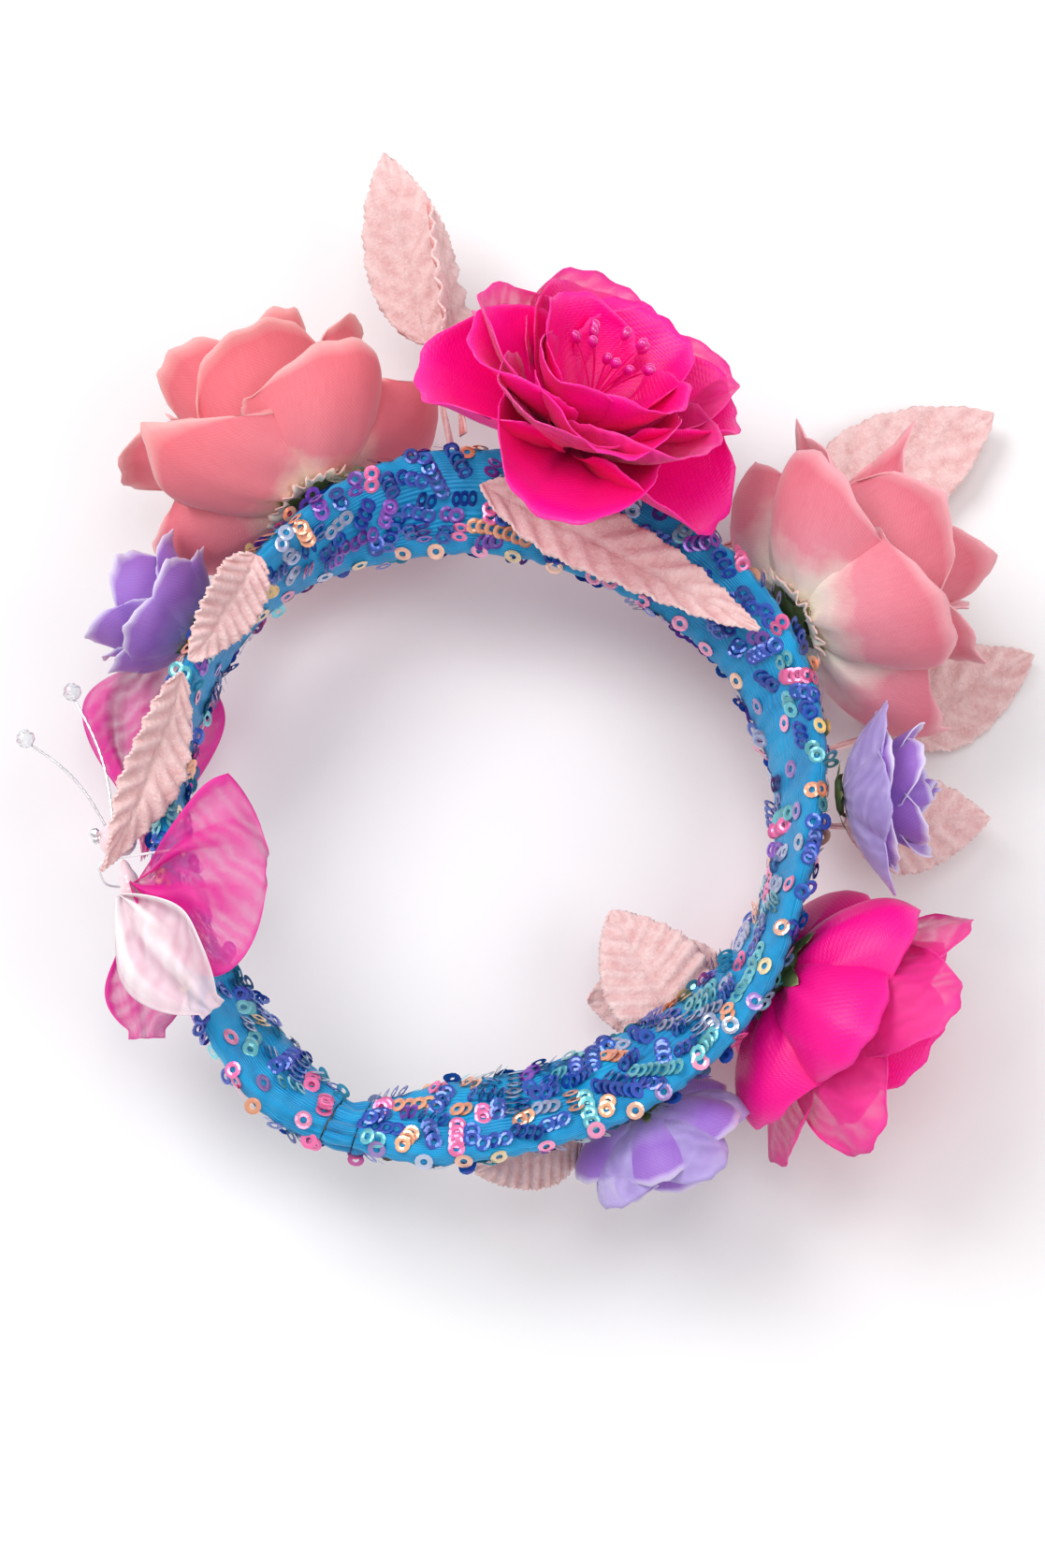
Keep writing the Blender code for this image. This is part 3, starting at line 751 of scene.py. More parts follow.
sequin = {
    "radius": 2.45,
    "hole": 0.95,
    "dome": 0.16,
    "segments": 12,
    "pitch": 2.5,  # along a sewn string, so that they overlap
    "clear": 3.05,  # between one string and the next
    "strings": 9000,  # tries
    # the plain strip winds round the sleeve: angle, share of the way round at its middle
    "stripAngles": (-272, -220, -190, -160, -130, -90, -60, -30, 0, 40, 88),
    "stripShares": (1.01, 0.99, 0.94, 0.86, 0.68, 0.575, 0.565, 0.67, 0.81, 0.88, 0.90),
    "stripHalf": 0.055,
    "stripStep": 12.0,
    "stripMargin": 0.015,
    "seamClear": 4.6,  # millimetres left bare either side of the joint
    "seamClearStrip": 6,
}
sequinDyes = {
    "royal": ((0.0, 0.06, 0.42), 0.40),
    "aqua": ((0.12, 0.50, 0.56), 0.17),
    "silver": ((0.34, 0.40, 0.58), 0.12),
    "peach": ((0.95, 0.40, 0.22), 0.09),
    "gold": ((0.88, 0.62, 0.26), 0.06),
    "pink": ((0.86, 0.14, 0.38), 0.07),
    "violet": ((0.20, 0.05, 0.46), 0.07),
}


def sequinPlaces():
    # strings of overlapping sequins over the sleeve, and single large ones along the plain strip
    table = np.linspace(0, 1, 721)
    loop = bandPoint(np.full(721, 30.0), table)
    travelled = np.concatenate([[0], np.cumsum(np.linalg.norm(np.diff(loop, axis=0), axis=1))]) / mm
    girth = travelled[-1]
    length = 2 * math.pi * band["radius"]
    seam = math.radians(band["joint"] - band["front"]) * band["radius"]

    def shareOf(w):
        return np.interp(w % girth, travelled, table)

    def stripAt(s):
        angle = band["front"] + np.degrees(s / band["radius"])
        angle = (angle - band["joint"]) % 360 + band["joint"] - 360
        return np.interp(angle, sequin["stripAngles"], sequin["stripShares"])

    names = list(sequinDyes)
    weight = np.array([sequinDyes[n][1] for n in names])
    taken = np.zeros((0, 2))
    out = []
    for _ in range(sequin["strings"]):
        s, w = dice.uniform(0, length), dice.uniform(0, girth)
        count = int(dice.choice([2, 3, 4, 5, 7], p=[0.24, 0.3, 0.24, 0.14, 0.08]))
        way = dice.choice([0, 1]) * math.pi / 2 * dice.choice([-1, 1]) + dice.normal(0, 0.35)
        steps = (np.arange(count) - count / 2) * sequin["pitch"] * dice.uniform(0.8, 1.25)
        spots = np.stack([s + steps * math.cos(way), w + steps * math.sin(way)], 1)
        share = shareOf(spots[:, 1])
        off = (share - stripAt(spots[:, 0]) + 0.5) % 1 - 0.5
        if np.any(np.abs(off) < sequin["stripHalf"] + sequin["stripMargin"]):
            continue
        if np.any(np.abs((spots[:, 0] - seam + length / 2) % length - length / 2) < sequin["seamClear"]):
            continue
        if len(taken):
            gap = np.abs(spots[:, None] - taken[None])
            gap[..., 0] = np.minimum(gap[..., 0], length - gap[..., 0])
            gap[..., 1] = np.minimum(gap[..., 1] % girth, girth - gap[..., 1] % girth)
            if np.hypot(gap[..., 0], gap[..., 1]).min() < sequin["clear"]:
                continue
        taken = np.concatenate([taken, spots])
        front = max(0.0, math.cos(s / band["radius"]))
        local = weight * np.array(
            [1 + front, 1.3 - front, 1.2 - 0.8 * front, 1, 0.8, 1 + front, 1 + 1.4 * front]
        )
        dye = sequinDyes[names[dice.choice(len(names), p=local / local.sum())]][0]
        tilt = math.radians(dice.uniform(6, 48))
        for k, a in enumerate(spots[:, 0]):
            out.append((a, share[k], way, tilt + dice.normal(0, 0.12), 1.0, *dye))
    s = 0.0
    while s < length:
        away = abs((s - seam + length / 2) % length - length / 2)
        if away > sequin["seamClearStrip"]:
            dye = sequinDyes[
                ["pink", "peach", "pink", "gold", "violet", "silver"][int(dice.integers(6))]
            ][0]
            pale = 0.45 + 0.25 * dice.uniform()
            dye = tuple(c * (1 - 0.3 * pale) + 0.3 * pale for c in dye)
            share = stripAt(s) + dice.uniform(-0.6, 0.6) * sequin["stripHalf"]
            out.append((s, share, dice.uniform(0, 6), math.radians(dice.uniform(2, 14)), 1.08, *dye))
        s += sequin["stripStep"] * dice.uniform(0.75, 1.25)
    return np.array(out)


def sequinPart():
    # every ring is a hoop of three-sided section; all of them are worked out at once
    spots = sequinPlaces()
    s, share, way, tilt, size = spots[:, 0], spots[:, 1], spots[:, 2], spots[:, 3], spots[:, 4]
    angle = band["front"] + np.degrees(s / band["radius"])
    centre = bandPoint(angle, share, knitLift(angle, share))
    along = unit(bandPoint(angle + 0.2, share) - bandPoint(angle - 0.2, share))
    across = bandPoint(angle, share + 0.004) - bandPoint(angle, share - 0.004)
    across = unit(across - along * np.sum(across * along, 1, keepdims=True))
    out = np.cross(along, across)
    inwards = np.sum(out * (centre - bandMiddle(angle)), 1) < 0
    out[inwards] *= -1
    step = along * np.cos(way)[:, None] + across * np.sin(way)[:, None]
    hinge = np.cross(out, step)
    ct, st = np.cos(tilt)[:, None], np.sin(tilt)[:, None]
    axis, face = out * ct - step * st, step * ct + out * st
    lift = (0.35 + 0.55 * sequin["radius"] * np.sin(tilt) * size)[:, None] * mm
    centre = centre + out * lift
    n = sequin["segments"]
    turn = np.arange(n) * 2 * math.pi / n
    middle = (sequin["radius"] + sequin["hole"]) / 2
    profile = [(sequin["radius"], 0), (middle, sequin["dome"]), (sequin["hole"], 0.02)]
    x = np.array([[r * math.cos(a) for r, _ in profile] for a in turn]).ravel()
    y = np.array([[r * math.sin(a) for r, _ in profile] for a in turn]).ravel()
    z = np.array([[h for _, h in profile] for _ in turn]).ravel()
    points = centre[:, None] + size[:, None, None] * mm * (
        x[
            None, :, None
        ] * face[:, None] + y[None, :, None] * hinge[:, None] + z[None, :, None] * axis[:, None]
    )
    i, j = np.meshgrid(np.arange(n), np.arange(3), indexing="ij")
    a, b = i * 3, ((i + 1) % n) * 3
    quads = np.stack([a + j, b + j, b + (j + 1) % 3, a + (j + 1) % 3], -1).reshape(-1, 4)
    # face x hinge may point along or against axis, so the hoop's outside is chosen by sign
    flip = np.sum(np.cross(face, hinge) * axis, 1) < 0
    every = quads[None] + (np.arange(len(spots)) * n * 3)[:, None, None]
    every[flip] = every[flip][:, :, ::-1]
    tint = np.clip(spots[:, 5:8] * dice.uniform(0.75, 1.25, (len(spots), 1)), 0, 1)
    tint = np.repeat(tint, n * 3, 0)
    print("sequins", len(spots))
    return points.reshape(-1, 3), every.reshape(-1, 4), np.zeros((len(spots) * n * 3, 2)), {"tint": tint}


def sequinMaterial():
    made, tree, shader = newMaterial(
        "pearl sequin",
        Roughness=0.2, Metallic=0.35, Coat_Weight=0.7, Coat_Roughness=0.08, Specular_IOR_Level=0.7,
    )
    place = objectCoords(tree)
    # painted iridescent sheen: a cyan, lilac and pink noise mixed faintly into each sequin's dye
    shimmer = noise(tree, place, 260.0, 1.0)
    paintedSheen = ramp(
        tree, shimmer, [(0.38, (0.10, 0.75, 0.80)), (0.5, (0.55, 0.6, 0.85)), (0.62, (0.95, 0.35, 0.65))]
    )
    colour = mixed(tree, 0.035, attribute(tree, "tint", "Color"), paintedSheen)
    paint(tree, shader, colour)
    return made


joint = band["joint"]
half = band["jointHalf"]
knit = knitMaterial()
wall = sleeve["wall"] * mm
tubePart = sleevePart(joint + half, 360 - 2 * half, sleeve["steps"], -wall / 2)
knitTube = addPiece("knitSleeve", [tubePart], knit, "crown", "sequin_sleeve", wall)
bindingSpan = sleeve["binding"]
bindingPart = sleevePart(joint - bindingSpan / 2, bindingSpan, sleeve["bindingSteps"], -wall)
binding = addPiece("seamBinding", [bindingPart], knit, "crown", "joint_binding", wall)
rings = addPiece("ringSequins", [sequinPart()], sequinMaterial(), "crown", smooth=False)
print("band made")

# flowers

cream = (0.92, 0.87, 0.70)
coralSilk = clothMaterial(
    "coral silk",
    [(0.06, cream), (0.19, (0.93, 0.56, 0.48)), (0.34, (0.88, 0.25, 0.30)), (1.0, (0.86, 0.18, 0.23))],
    (0.98, 0.52, 0.50),
    (0.80, 0.30, 0.32),
)
dustySilk = clothMaterial(
    "dusty silk",
    [(0.14, cream), (0.32, (0.90, 0.66, 0.60)), (0.52, (0.82, 0.27, 0.34)), (1.0, (0.74, 0.17, 0.24))],
    (0.90, 0.46, 0.50),
    (0.70, 0.28, 0.34),
)
fuchsiaSatin = clothMaterial(
    "fuchsia satin",
    [(0.0, (0.82, 0.0, 0.19)), (0.5, (0.98, 0.0, 0.24)), (1.0, (1.0, 0.0, 0.28))],
    (1.0, 0.02, 0.34),
    (0.88, 0.35, 0.60),
    sheen=0.05,
    rough=0.38,
    weave=0.3,
    twill=0.6,
)
lavenderSilk = clothMaterial(
    "lavender silk",
    [
        (0.0, (0.66, 0.60, 0.84)), (0.25, (0.47, 0.33, 0.74)), (0.6, (0.31, 0.14, 0.56)),
        (1.0, (0.35, 0.18, 0.60))
    ],
    (0.82, 0.75, 0.94),
    (0.55, 0.45, 0.75),
    rough=0.45,
)
palePetal = sheerMaterial("pale lilac organza", (0.46, 0.34, 0.78), (0.66, 0.57, 0.90), 0.5)
fuchsiaOrganza = sheerMaterial("fuchsia organza", (0.95, 0.04, 0.36), (0.88, 0.0, 0.26), 0.42)
mossGreen = clothMaterial(
    "moss calyx",
    [(0.0, (0.03, 0.055, 0.014)), (0.6, (0.06, 0.095, 0.026)), (1.0, (0.12, 0.15, 0.05))],
    (0.35, 0.38, 0.16),
    (0.5, 0.5, 0.4),
    sheen=0.0,
    rough=0.55,
    subsurface=0.0,
)

silkWall = 0.32 * mm


def petal(length, width, phi0, phi1, cup0, cup1, **own):
    return dict(length=length, width=width, phi0=phi0, phi1=phi1, cup0=cup0, cup1=cup1, **own)


def addPetals(name, layer, parts, finish):
    addPiece(f"{name}_{layer}Petals", parts, finish, "crown", f"{name}_{layer}_petals", silkWall)


def addCup(name, place, radius, height, sepals, sepalLength):
    base = flowerPlace(**{**place, "top": 0})
    parts = fillValues(calyxParts(radius, height, base, sepals, sepalLength), ("grown", "rim", "fold"))
    addPiece(name + "_greenCup", parts, mossGreen, "crown", name + "_calyx")


def addHeart(name, place, bud, finish):
    radius, height, foot, turns = bud
    part = rolledCentre(radius, height, foot, turns, place)
    addPiece(name + "_rolledHeart", [part], finish, "crown", name + "_bud", silkWall)


roses = {
    "coral_rose": {
        "place": dict(distance=80, pitch=-13, yaw=2, top=4.5),
        "silk": (coralSilk, "coral_silk"),
        "outer": (5, 36, petal(57, 66, 98, 14, 19, 23, bend=1.5, shoulder=0.5, roll=-0.5)),
        "middle": (4, 6, petal(55, 56, 66, 12, 19, 25, round=0.26, curl=34, roll=2.5, foot=3)),
        "inner": (4, 50, petal(57, 46, 44, 0, 14, 18, round=0.24, curl=20, roll=2, foot=5.6)),
        "outerOwn": {4: dict(point=7, phi1=30, round=0.6, width=62), 0: dict(width=70)},
        "middleOwn": {3: dict(curl=62), 1: dict(phi1=2, length=60)},
        "bud": (9.5, 42, 10.5, 2.2),
        "seed": 11,
    },
    "dusty_rose": {
        "place": dict(distance=-53, pitch=-10, top=4.5),
        "silk": (dustySilk, "dusty_silk"),
        "outer": (5, 36, petal(57, 66, 96, 12, 19, 23, bend=1.5, shoulder=0.5, roll=-0.5)),
        "middle": (4, 0, petal(52, 56, 64, 14, 18, 25, curl=30, roll=2, foot=3, point=5)),
        "inner": (4, 48, petal(52, 46, 42, 0, 14, 18, curl=16, roll=2, foot=5.6, point=4)),
        "outerOwn": {
            0: dict(width=72, crease=0.8), 1: dict(width=68, point=6, crease=0.9), 4: dict(phi1=26)
        },
        "middleOwn": {3: dict(point=11, roll=5), 2: dict(width=62)},
        "innerOwn": {3: dict(point=12, width=34, roll=5)},
        "bud": (9, 36, 10.5, 2.2),
        "seed": 23,
    },
}
for name, rose in roses.items():
    place = flowerPlace(**rose["place"])
    silk, slot = rose["silk"]
    seed = rose["seed"]
    for level, layer in enumerate(("outer", "middle", "inner")):
        count, start, spec = rose[layer]
        parts = petalRing(count, start, spec, place, seed + level, overrides=rose.get(layer + "Own"))
        if layer == "outer":
            parts.append(frillPart(8.8, -0.9, place, seed, 6.5))
            parts.append(frillPart(8.5, 1.6, place, seed + 5))
        addPetals(name, layer, parts, silk)
    addHeart(name, place, rose["bud"], silk)
    addCup(name, rose["place"], 8.4, 4.3, 6, 10)
print("large roses made")

smallRoses = {
    "lavender_rose": {
        "place": dict(distance=127, pitch=-6, across=-2, top=2.5),
        "outer": (6, 30, petal(23.5, 28, 82, 28, 15, 22, curl=34, roll=-1, point=2)),
        "inner": (5, 10, petal(28, 26, 60, 8, 12, 17, curl=54, roll=-0.8, foot=3, point=2)),
        "bud": (6.5, 19, 8.3, 2.4),
        "sheer": "",
        "seed": 41,
    },
    "violet_rose": {
        "place": dict(distance=-105, pitch=6, across=9, out=-1, top=2.5),
        "outer": (5, 20, petal(31, 33, 84, 38, 12, 17, roll=1.2)),
        "inner": (5, 56, petal(27, 26, 60, 10, 9, 13, roll=1.0, foot=3)),
        "bud": (6.5, 19, 8.3, 2.2),
        "sheer": "outer",
        "seed": 52,
    },
    "lilac_rose": {
        "place": dict(distance=-208, pitch=-36, top=2.5),
        "outer": (5, 20, petal(27, 30, 92, 38, 11, 13, roll=-1)),
        "inner": (4, 0, petal(25, 30, 62, 8, 10, 14, round=0.26, roll=-1, foot=3)),
        "bud": (6.5, 18, 8.3, 2.2),
        "sheer": "middle",
        "seed": 63,
    },
}
for name, rose in smallRoses.items():
    place = flowerPlace(**rose["place"])
    seed = rose["seed"]
    for level, layer in enumerate(("outer", "inner")):
        count, start, spec = rose[layer]
        spec = dict(spec, rows=20, columns=15, r0=2.2, ruffle=0.6, crease=0.2)
        parts = petalRing(count, start, spec, place, seed + level)
        finish = palePetal if rose["sheer"] == layer else lavenderSilk
        addPetals(name, layer, parts, finish)
    if rose["sheer"]:
        spec = dict(rose["outer"][2], rows=20, columns=15, r0=2.2, ruffle=0.6, crease=0.2, foot=1.2)
        longer = 1.2 if rose["sheer"] == "middle" else 0.86
        spec.update(length=spec["length"] * longer, phi1=spec["phi1"] - 12)
        parts = petalRing(rose["outer"][0], rose["outer"][1] + 36, spec, place, seed + 7)
        finish = palePetal if rose["sheer"] == "middle" else lavenderSilk
        addPiece(name + "_middlePetals", parts, finish, "crown", (), silkWall)
    addHeart(name, place, rose["bud"], lavenderSilk)
    addCup(name, rose["place"], 5.9, 2.4, 5, 7)
print("small roses made")

# the open fuchsia rose and the satin flower

openRose = {
    "place": dict(distance=20, pitch=50, yaw=-25, across=5, out=5, top=4.5),
    "layers": [
        ("outer", 5, 18, False, petal(49, 60, 88, 76, 24, 30, curl=42, round=0.26)),
        ("organza", 5, 140, True, petal(49, 52, 76, 36, 24, 28, curl=24, foot=3)),
        ("middle", 4, 30, False, petal(44, 54, 78, 44, 21, 26, curl=46, round=0.24, foot=5.6)),
        ("inner", 4, 75, False, petal(35, 44, 66, 14, 15, 19, curl=50, round=0.24, foot=8)),
    ],
    "stamens": 12,
    "stamenLength": 22,
}
satinFlower = {
    "place": dict(distance=-154, pitch=-24, top=4.5),
    "layers": [
        ("outer", 5, 20, False, petal(47, 55, 94, 28, 18, 20, bend=1.3, roll=-2)),
        ("organza", 6, 50, True, petal(56, 44, 70, 30, 18, 24, roll=2, foot=3)),
        ("inner", 4, 0, False, petal(42, 52, 62, 12, 17, 21, curl=30, round=0.24, foot=5.6)),
    ],
    "bud": (9, 30, 10.5, 1.8),
}
for name, flower, seed in (("fuchsia_rose", openRose, 71), ("satin_flower", satinFlower, 82)):
    place = flowerPlace(**flower["place"])
    for level, (layer, count, start, sheer, spec) in enumerate(flower["layers"]):
        spec = dict({"shoulder": 0.52, "roll": -1.5}, **spec)
        spec["ruffle"] = 2.2 if sheer else 1.8
        parts = petalRing(count, start, spec, place, seed + level)
        finish, slot = (fuchsiaOrganza, "fuchsia_organza") if sheer else (fuchsiaSatin, "fuchsia_satin")
        addPetals(name, layer, parts, finish)
    addCup(name, flower["place"], 8.4, 4.3, 5, 11)

addHeart(
    "satin_flower", flowerPlace(**satinFlower["place"]), satinFlower["bud"], fuchsiaSatin
)


def stamenParts(place, foot):
    # fine dipped threads that fan out of the peg, with pearl tips
    threads, tips = [], []
    for i in range(openRose["stamens"]):
        turn = math.radians(137.5 * i)
        fan = 3.0 + 8.5 * math.sqrt((i + 0.5) / openRose["stamens"])
        t = np.linspace(0, 1, 9)
        length = openRose["stamenLength"] * dice.uniform(0.85, 1.08)
        r = 0.6 + fan * t**1.5
        path = np.stack([r * math.cos(turn), r * math.sin(turn), foot + length * t], 1) * mm
        path = placed(path, place)
        threads.append(tube(path, 0.32 * mm, 6))
        way = unit(path[-1] - path[-2])
        bead = ballPart([0, 0, 0], 1.55 * mm, 8, 12)
        stretched = bead[0] + way * np.sum(bead[0] * way, 1, keepdims=True) * 0.45
        tips.append((stretched + path[-1] + way * 1.2 * mm, *bead[1:]))
    return threads, tips


def glossMaterial(name, deep, pale, rough=0.22, coat=0.6, scale=90.0, metallic=0.0):
    made, tree, shader = newMaterial(
        name, Roughness=rough, Coat_Weight=coat, Coat_Roughness=0.1, Metallic=metallic
    )
    cloud = noise(tree, objectCoords(tree), scale, 2.0)
    paint(tree, shader, ramp(tree, cloud, [(0.3, deep), (0.7, pale)]))
    bump(tree, shader, cloud, 0.05, 0.0002)
    return made


threads, tips = stamenParts(flowerPlace(**openRose["place"]), 12)
stamenGloss = glossMaterial(
    "pearl magenta", (0.62, 0.0, 0.20), (0.86, 0.01, 0.34), 0.22, 0.8, 300.0, 0.15
)
addPiece("stamenThreads", threads, fuchsiaSatin, "crown", "fuchsia_rose_stamens")
addPiece("stamenPearls", tips, stamenGloss, "crown")
print("fuchsia flowers made")

# leaves


def velvetMaterial(name, deep, pale, paintedGlintShare=0.5):
    # crushed velvet: a mottled pile, with painted glints in white flecks and a painted highlight along
    # the raised veins
    made, tree, shader = newMaterial(
        name, Roughness=0.6, Sheen_Weight=0.05, Sheen_Roughness=0.35, Specular_IOR_Level=0.3
    )
    shader.inputs["Sheen Tint"].default_value = (1.0, 0.86, 0.84, 1)
    flat = scaledUv(tree, 1, 1)
    pile = noise(tree, flat, 0.22, 5.0, 0.7)
    colour = ramp(tree, pile, [(0.36, deep), (0.64, pale)])
    # painted glints: white flecks mixed into the pile's colour
    paintedGlint = noise(tree, flat, 1.15, 2.0, 0.8)
    paintedGlint = ramp(tree, paintedGlint, [(0.56, (0, 0, 0)), (0.66, (1, 1, 1))])
    colour = mixed(tree, times(tree, paintedGlint, paintedGlintShare), colour, (1.0, 0.93, 0.88))
    # painted highlight: the raised vein ridges are mixed towards a pale pink
    paintedRidgeHighlight = math2(tree, "POWER", attribute(tree, "vein"), 2.0)
    colour = mixed(tree, times(tree, paintedRidgeHighlight, 0.26), colour, (1.0, 0.80, 0.78))
    rim = math2(tree, "POWER", attribute(tree, "rim"), 9.0)
    colour = mixed(tree, times(tree, rim, 0.4), colour, (0.94, 0.72, 0.70))
    paint(tree, shader, colour)
    grain = plus(tree, noise(tree, flat, 0.7, 4.0, 0.75), times(tree, pile, 0.8))
    bump(tree, shader, grain, 0.7, 0.0012)
    return made


velvet = velvetMaterial("rose velvet", (0.70, 0.19, 0.19), (0.86, 0.36, 0.33), 0.4)
leafBack = velvetMaterial("pale leaf back", (0.76, 0.42, 0.42), (0.88, 0.62, 0.61), 0.3)
leafCommon = dict(teeth=0.9, veins=10, veinLift=0.95, midrib=1.0, wobble=1.1, fold=0.15, teethCount=44)
leaves = {
    "front_leaf_long": (
        ("outside", 45, 3, -4), ("outside", 49.5, 104, -18), dict(width=27, roll=-12, arch=-4, stem=0.36)
    ),
    "front_leaf_short": (
        ("outside", 42, 3, 6), ("outside", 44.5, 81, -4), dict(width=22, roll=66, arch=2, stem=0.3)
    ),
    "front_cover_leaf": (("over", 38, 1, 2), ("over", -55, 0, 3), dict(width=23, roll=-14, arch=1)),
    "right_leaf_large": (
        ("under", -17, 6, -5), ("outside", -41, 101, -44), dict(width=37, roll=0, arch=-17, stem=0.46)
    ),
    "right_leaf_small": (
        ("under", -85, 6, -6.5), ("outside", -74.5, 73, -50), dict(width=30, roll=4, arch=-14, stem=0.4)
    ),
    "right_leaf_low": (
        ("under", -106, 6, -3), ("outside", -102.5, 50, -38), dict(width=30, roll=6, arch=-8, stem=0.2)
    ),
    "left_leaf_upper": (
        ("over", 104, 2, 5), ("over", 139, 0, 6), dict(width=20, roll=-40, arch=2, teethCount=26)
    ),
    "left_leaf_lower": (("over", 143, 1, 6), ("over", 197, 20, 3), dict(width=20, roll=-46, arch=4)),
    "back_leaf": (
        ("under", -227, 8, -4), ("under", -257, 12, -5), dict(width=22, roll=-16, arch=-2, teethCount=26)
    ),
    "inner_leaf_left": (("under", -186, 2, -3), ("under", -160, -45, -7), dict(width=32, roll=6, arch=3)),
    "inner_leaf_right": (
        ("under", -160, 0, -9), ("under", -203, -30, -19), dict(width=33, roll=-6, arch=2)
    ),
}
for i, (name, (root, tip, spec)) in enumerate(leaves.items()):
    part = bladePart(dict(leafCommon, seed=300 + i, **spec), besideBand(*root), besideBand(*tip))
    made = addPiece(name + "_velvet", [part], [velvet, leafBack], "crown", name, 0.7 * mm)
print("leaves made")

# butterfly

butterfly = {
    "head": 186, "tail": 213, "rise": 2, "tilt": 5, "bodyRadius": 4.2, "bodyLength": 24, "headRadius": 5.5
}
seat = butterfly["bodyRadius"] + 1
headPoint = besideBand("outside", butterfly["head"], seat + butterfly["tilt"], butterfly["rise"])
tailPoint = besideBand("outside", butterfly["tail"], seat, butterfly["rise"])
backwards = unit(tailPoint - headPoint)
middle = headPoint + backwards * (butterfly["headRadius"] + 0.5 + butterfly["bodyLength"] / 2) * mm
bodyPlace = placeOf(middle, backwards, unit(np.cross([0, 0, 1.0], backwards)))
t = np.linspace(0, 1, 40)
swell = np.sin(math.pi * t) ** 0.55 * (0.78 + 0.22 * np.cos(t * 2.2)) * (
    1 + 0.07 * np.sin(t * 2 * math.pi * 5.5)
)
profile = np.stack([butterfly["bodyRadius"] * swell, butterfly["bodyLength"] / 2 * (1 - 2 * t)], 1) * mm
pearl = glossMaterial("pink pearl", (0.90, 0.50, 0.58), (0.98, 0.80, 0.84), 0.28, 0.7)
addPiece("pearlBody", [turned(profile, 28, bodyPlace)], pearl, "crown", "butterfly_body")
addPiece(
    "pearlHead",
    [ballPart(headPoint, butterfly["headRadius"] * mm, 20, 28)],
    pearl,
    "crown",
    "butterfly_head",
)
silver = glossMaterial("bright silver", (0.62, 0.62, 0.65), (0.86, 0.86, 0.88), 0.18, 0.3, 500.0, 1.0)
crystal, crystalTree, crystalShader = newMaterial(
    "clear crystal",
    Roughness=0.04, Transmission_Weight=0.75, IOR=1.5, Coat_Weight=0.5, Specular_IOR_Level=0.8,
)
crystalTint = ramp(
    crystalTree, noise(
        crystalTree, objectCoords(crystalTree), 400.0, 1.0
    ), [(0.3, (0.80, 0.84, 0.90)), (0.7, (1, 1, 1))]
)
paint(crystalTree, crystalShader, crystalTint)
outFromHead = ring(angleAt(butterfly["head"]))
for side, lift in (("upper", 0.55), ("lower", -0.55)):
    way = unit(outFromHead - backwards * 0.25 + np.array([0, 0, lift]))
    eye = headPoint + way * (butterfly["headRadius"] + 1.7 + 0.1) * mm
    eyePlace = placeOf(eye, way, unit(np.cross([0.3, 0.2, 1.0], way)))
    facets = np.array([(0, 1.3), (0.95, 1.3), (1.7, 0.2), (1.25, -0.9), (0, -1.6)]) * mm
    addPiece(
        "rhinestone_" + side, [
            turned(facets, 9, eyePlace)
        ], silver, "crown", "rhinestone_eye_" + side, smooth=False
    )
    antennaTip = besideBand("outside", *{"upper": (165, 38, 6), "lower": (151.5, 29, -4)}[side])
    way = unit(antennaTip - headPoint)
    root, end = headPoint + way * 5.4 * mm, antennaTip - way * 2.6 * mm
    bow = unit(np.cross(way, [0, 0, 1.0])) * 2.5 * mm
    t = np.linspace(0, 1, 46)[:, None]
    path = root + (end - root) * t + bow * np.sin(math.pi * t)
    kink = 0.16 * mm * np.stack([np.sin(t[:, 0] * 46), np.cos(t[:, 0] * 46), 0 * t[:, 0]], 1)
    addPiece(
        "twistedWire_" + side,
        [tube(path + kink, 0.26 * mm, 7), tube(path - kink, 0.26 * mm, 7)],
        silver,
        "antenna_" + side,
        "antenna_wire_" + side,
    )
    bead = ballPart(antennaTip, 2.8 * mm, 6, 9)
    addPiece(
        "crystalBead_" + side, [
            bead
        ], crystal, "antenna_" + side, "antenna_bead_" + side, smooth=False
    )

magentaSheer = sheerMaterial("magenta organza", (0.80, 0.04, 0.38), (0.74, 0.0, 0.28), 0.46)
whiteSheer = sheerMaterial("blush organza", (0.90, 0.66, 0.74), (0.95, 0.86, 0.89), 0.4)
wings = {
    "wing_upper_near": (
        ("over", 201, 12, 1),
        ("over", 209, -26, 8),
        dict(
            width=62, arch=6, widest=0.6, tip=6, gather=1.6, gathers=9, wobble=2.4, full=0.5, notch=0.62
        ),
        "near_wings",
        magentaSheer,
        "sheer_magenta",
    ),
    "wing_lower_near": (
        ("over", 204, 16, 4),
        ("over", 243, 5, 12),
        dict(
            width=30, roll=24, arch=4, widest=0.55, tip=4, gather=1.3, gathers=7, wobble=1.6, curlEdge=5
        ),
        "near_wings",
        whiteSheer,
        "sheer_white",
    ),
    "wing_upper_far": (
        ("under", 187, 9, 2),
        ("under", 132, 19, -15),
        dict(width=42, roll=14, arch=-3, widest=0.72, tip=5, gather=3.2, gathers=8, wobble=2.6, full=0.6),
        "far_wings",
        magentaSheer,
        "sheer_magenta",
    ),
    "wing_lower_far": (
        ("outside", 203, 6, -10),
        ("outside", 232, 13, -12),
        dict(width=24, roll=10, arch=-2, widest=0.6, tip=5, gather=1.3, gathers=8, wobble=1.2),
        "far_wings",
        magentaSheer,
        "sheer_magenta",
    ),
}
# each wing's organza runs from its root to its tip and is as wide as its width, in millimetres
for i, (name, (root, tip, spec, body, finish, slot)) in enumerate(wings.items()):
    start, end = besideBand(*root), besideBand(*tip)
    part = bladePart(dict(spec, rows=48, columns=45, seed=500 + i, fold=0), start, end)
    wing = addPiece(name + "_organza", [part], finish, body, name, 0.25 * mm)
print("butterfly made")

# pieces of the model that stay as they are

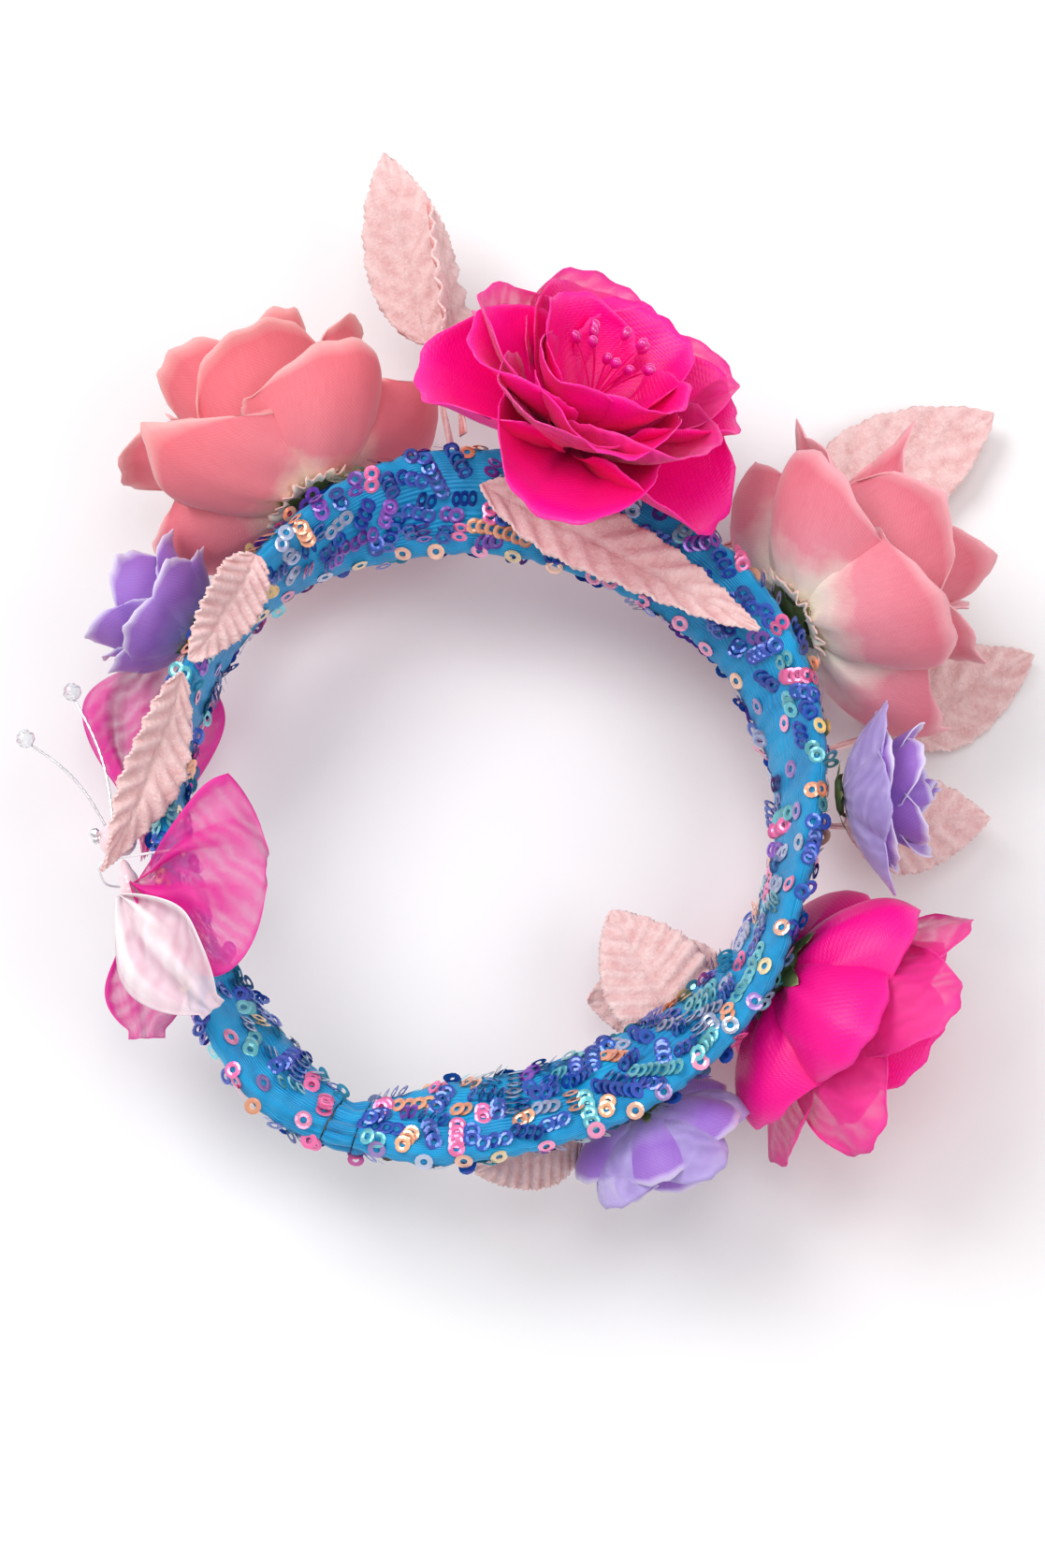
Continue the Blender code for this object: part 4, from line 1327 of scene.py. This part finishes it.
elasticWeave = glossMaterial("woven elastic", (0.62, 0.63, 0.66), (0.86, 0.87, 0.90), 0.8, 0.0, 900.0)
nylon = glossMaterial("clear nylon", (0.80, 0.82, 0.86), (0.98, 0.98, 1.0), 0.12, 0.6, 500.0)
for name, finish in (("elastic_core", elasticWeave), ("tie_thread", nylon)):
    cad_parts[name].data.materials.clear()
    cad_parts[name].data.materials.append(finish)

# floor, light and camera

floorMesh = bpy.data.meshes.new("studioFloor")
floorMesh.from_pydata([(-3, -3, 0), (3, -3, 0), (3, 3, 0), (-3, 3, 0)], [], [(0, 1, 2, 3)])
floor = bpy.data.objects.new("studioFloor", floorMesh)
bpy.context.scene.collection.objects.link(floor)
floorPaint, _, floorShader = newMaterial("pale paper", Roughness=0.9, Specular_IOR_Level=0.1)
floorShader.inputs["Base Color"].default_value = (0.86, 0.86, 0.87, 1)
floorMesh.materials.append(floorPaint)

world = bpy.data.worlds.new("studio")
bpy.context.scene.world = world
world.use_nodes = True
world.node_tree.nodes["Background"].inputs[0].default_value = (1.0, 1.0, 1.0, 1)
world.node_tree.nodes["Background"].inputs[1].default_value = 0.62

# the camera looks down on the crown from behind it
view = {"turn": -157.8, "drop": 15, "across": 9.6, "upwards": 10, "distance": 1.3, "frameMm": 452.52}
turnRad, drop = math.radians(view["turn"]), math.radians(view["drop"])
right = np.array([math.cos(turnRad), math.sin(turnRad), 0])
up0 = np.array([-right[1], right[0], 0])
back = np.array([0, 0, math.cos(drop)]) - up0 * math.sin(drop)
upwards = up0 * math.cos(drop) + np.array([0, 0, math.sin(drop)])
target = np.array([0, 0, 0.055]) + (right * view["across"] + upwards * view["upwards"]) * mm
lens = bpy.data.cameras.new("camera")
lens.sensor_width = 36
lens.lens = lens.sensor_width * view["distance"] / (view["frameMm"] * mm)
lens.clip_start, lens.clip_end = 0.01, 20
camera = bpy.data.objects.new("camera", lens)
bpy.context.scene.collection.objects.link(camera)
camera.matrix_world = Matrix(placeOf(target + back * view["distance"], back, right).tolist())
bpy.context.scene.camera = camera

lights = {
    "windowSide": (-0.9, 0.7, 1.6, 1.0, 20),
    "farSide": (1.1, -0.4, 1.5, 1.0, 8),
    "overhead": (0.1, 0.1, 2.2, 0.7, 7),
}
for name, (across, along, high, size, power) in lights.items():
    bulb = bpy.data.lights.new(name, "AREA")
    bulb.size = size
    bulb.energy = power
    lamp = bpy.data.objects.new(name, bulb)
    bpy.context.scene.collection.objects.link(lamp)
    where = right * across + up0 * along + np.array([0, 0, high])
    z = unit(where - np.array([0, 0, 0.05]))
    x = unit(np.cross([0, 0, 1.0], z) + np.array([1e-6, 0, 0]))
    lamp.matrix_world = Matrix(placeOf(where, z, x).tolist())
bpy.context.scene.view_settings.view_transform = "Standard"
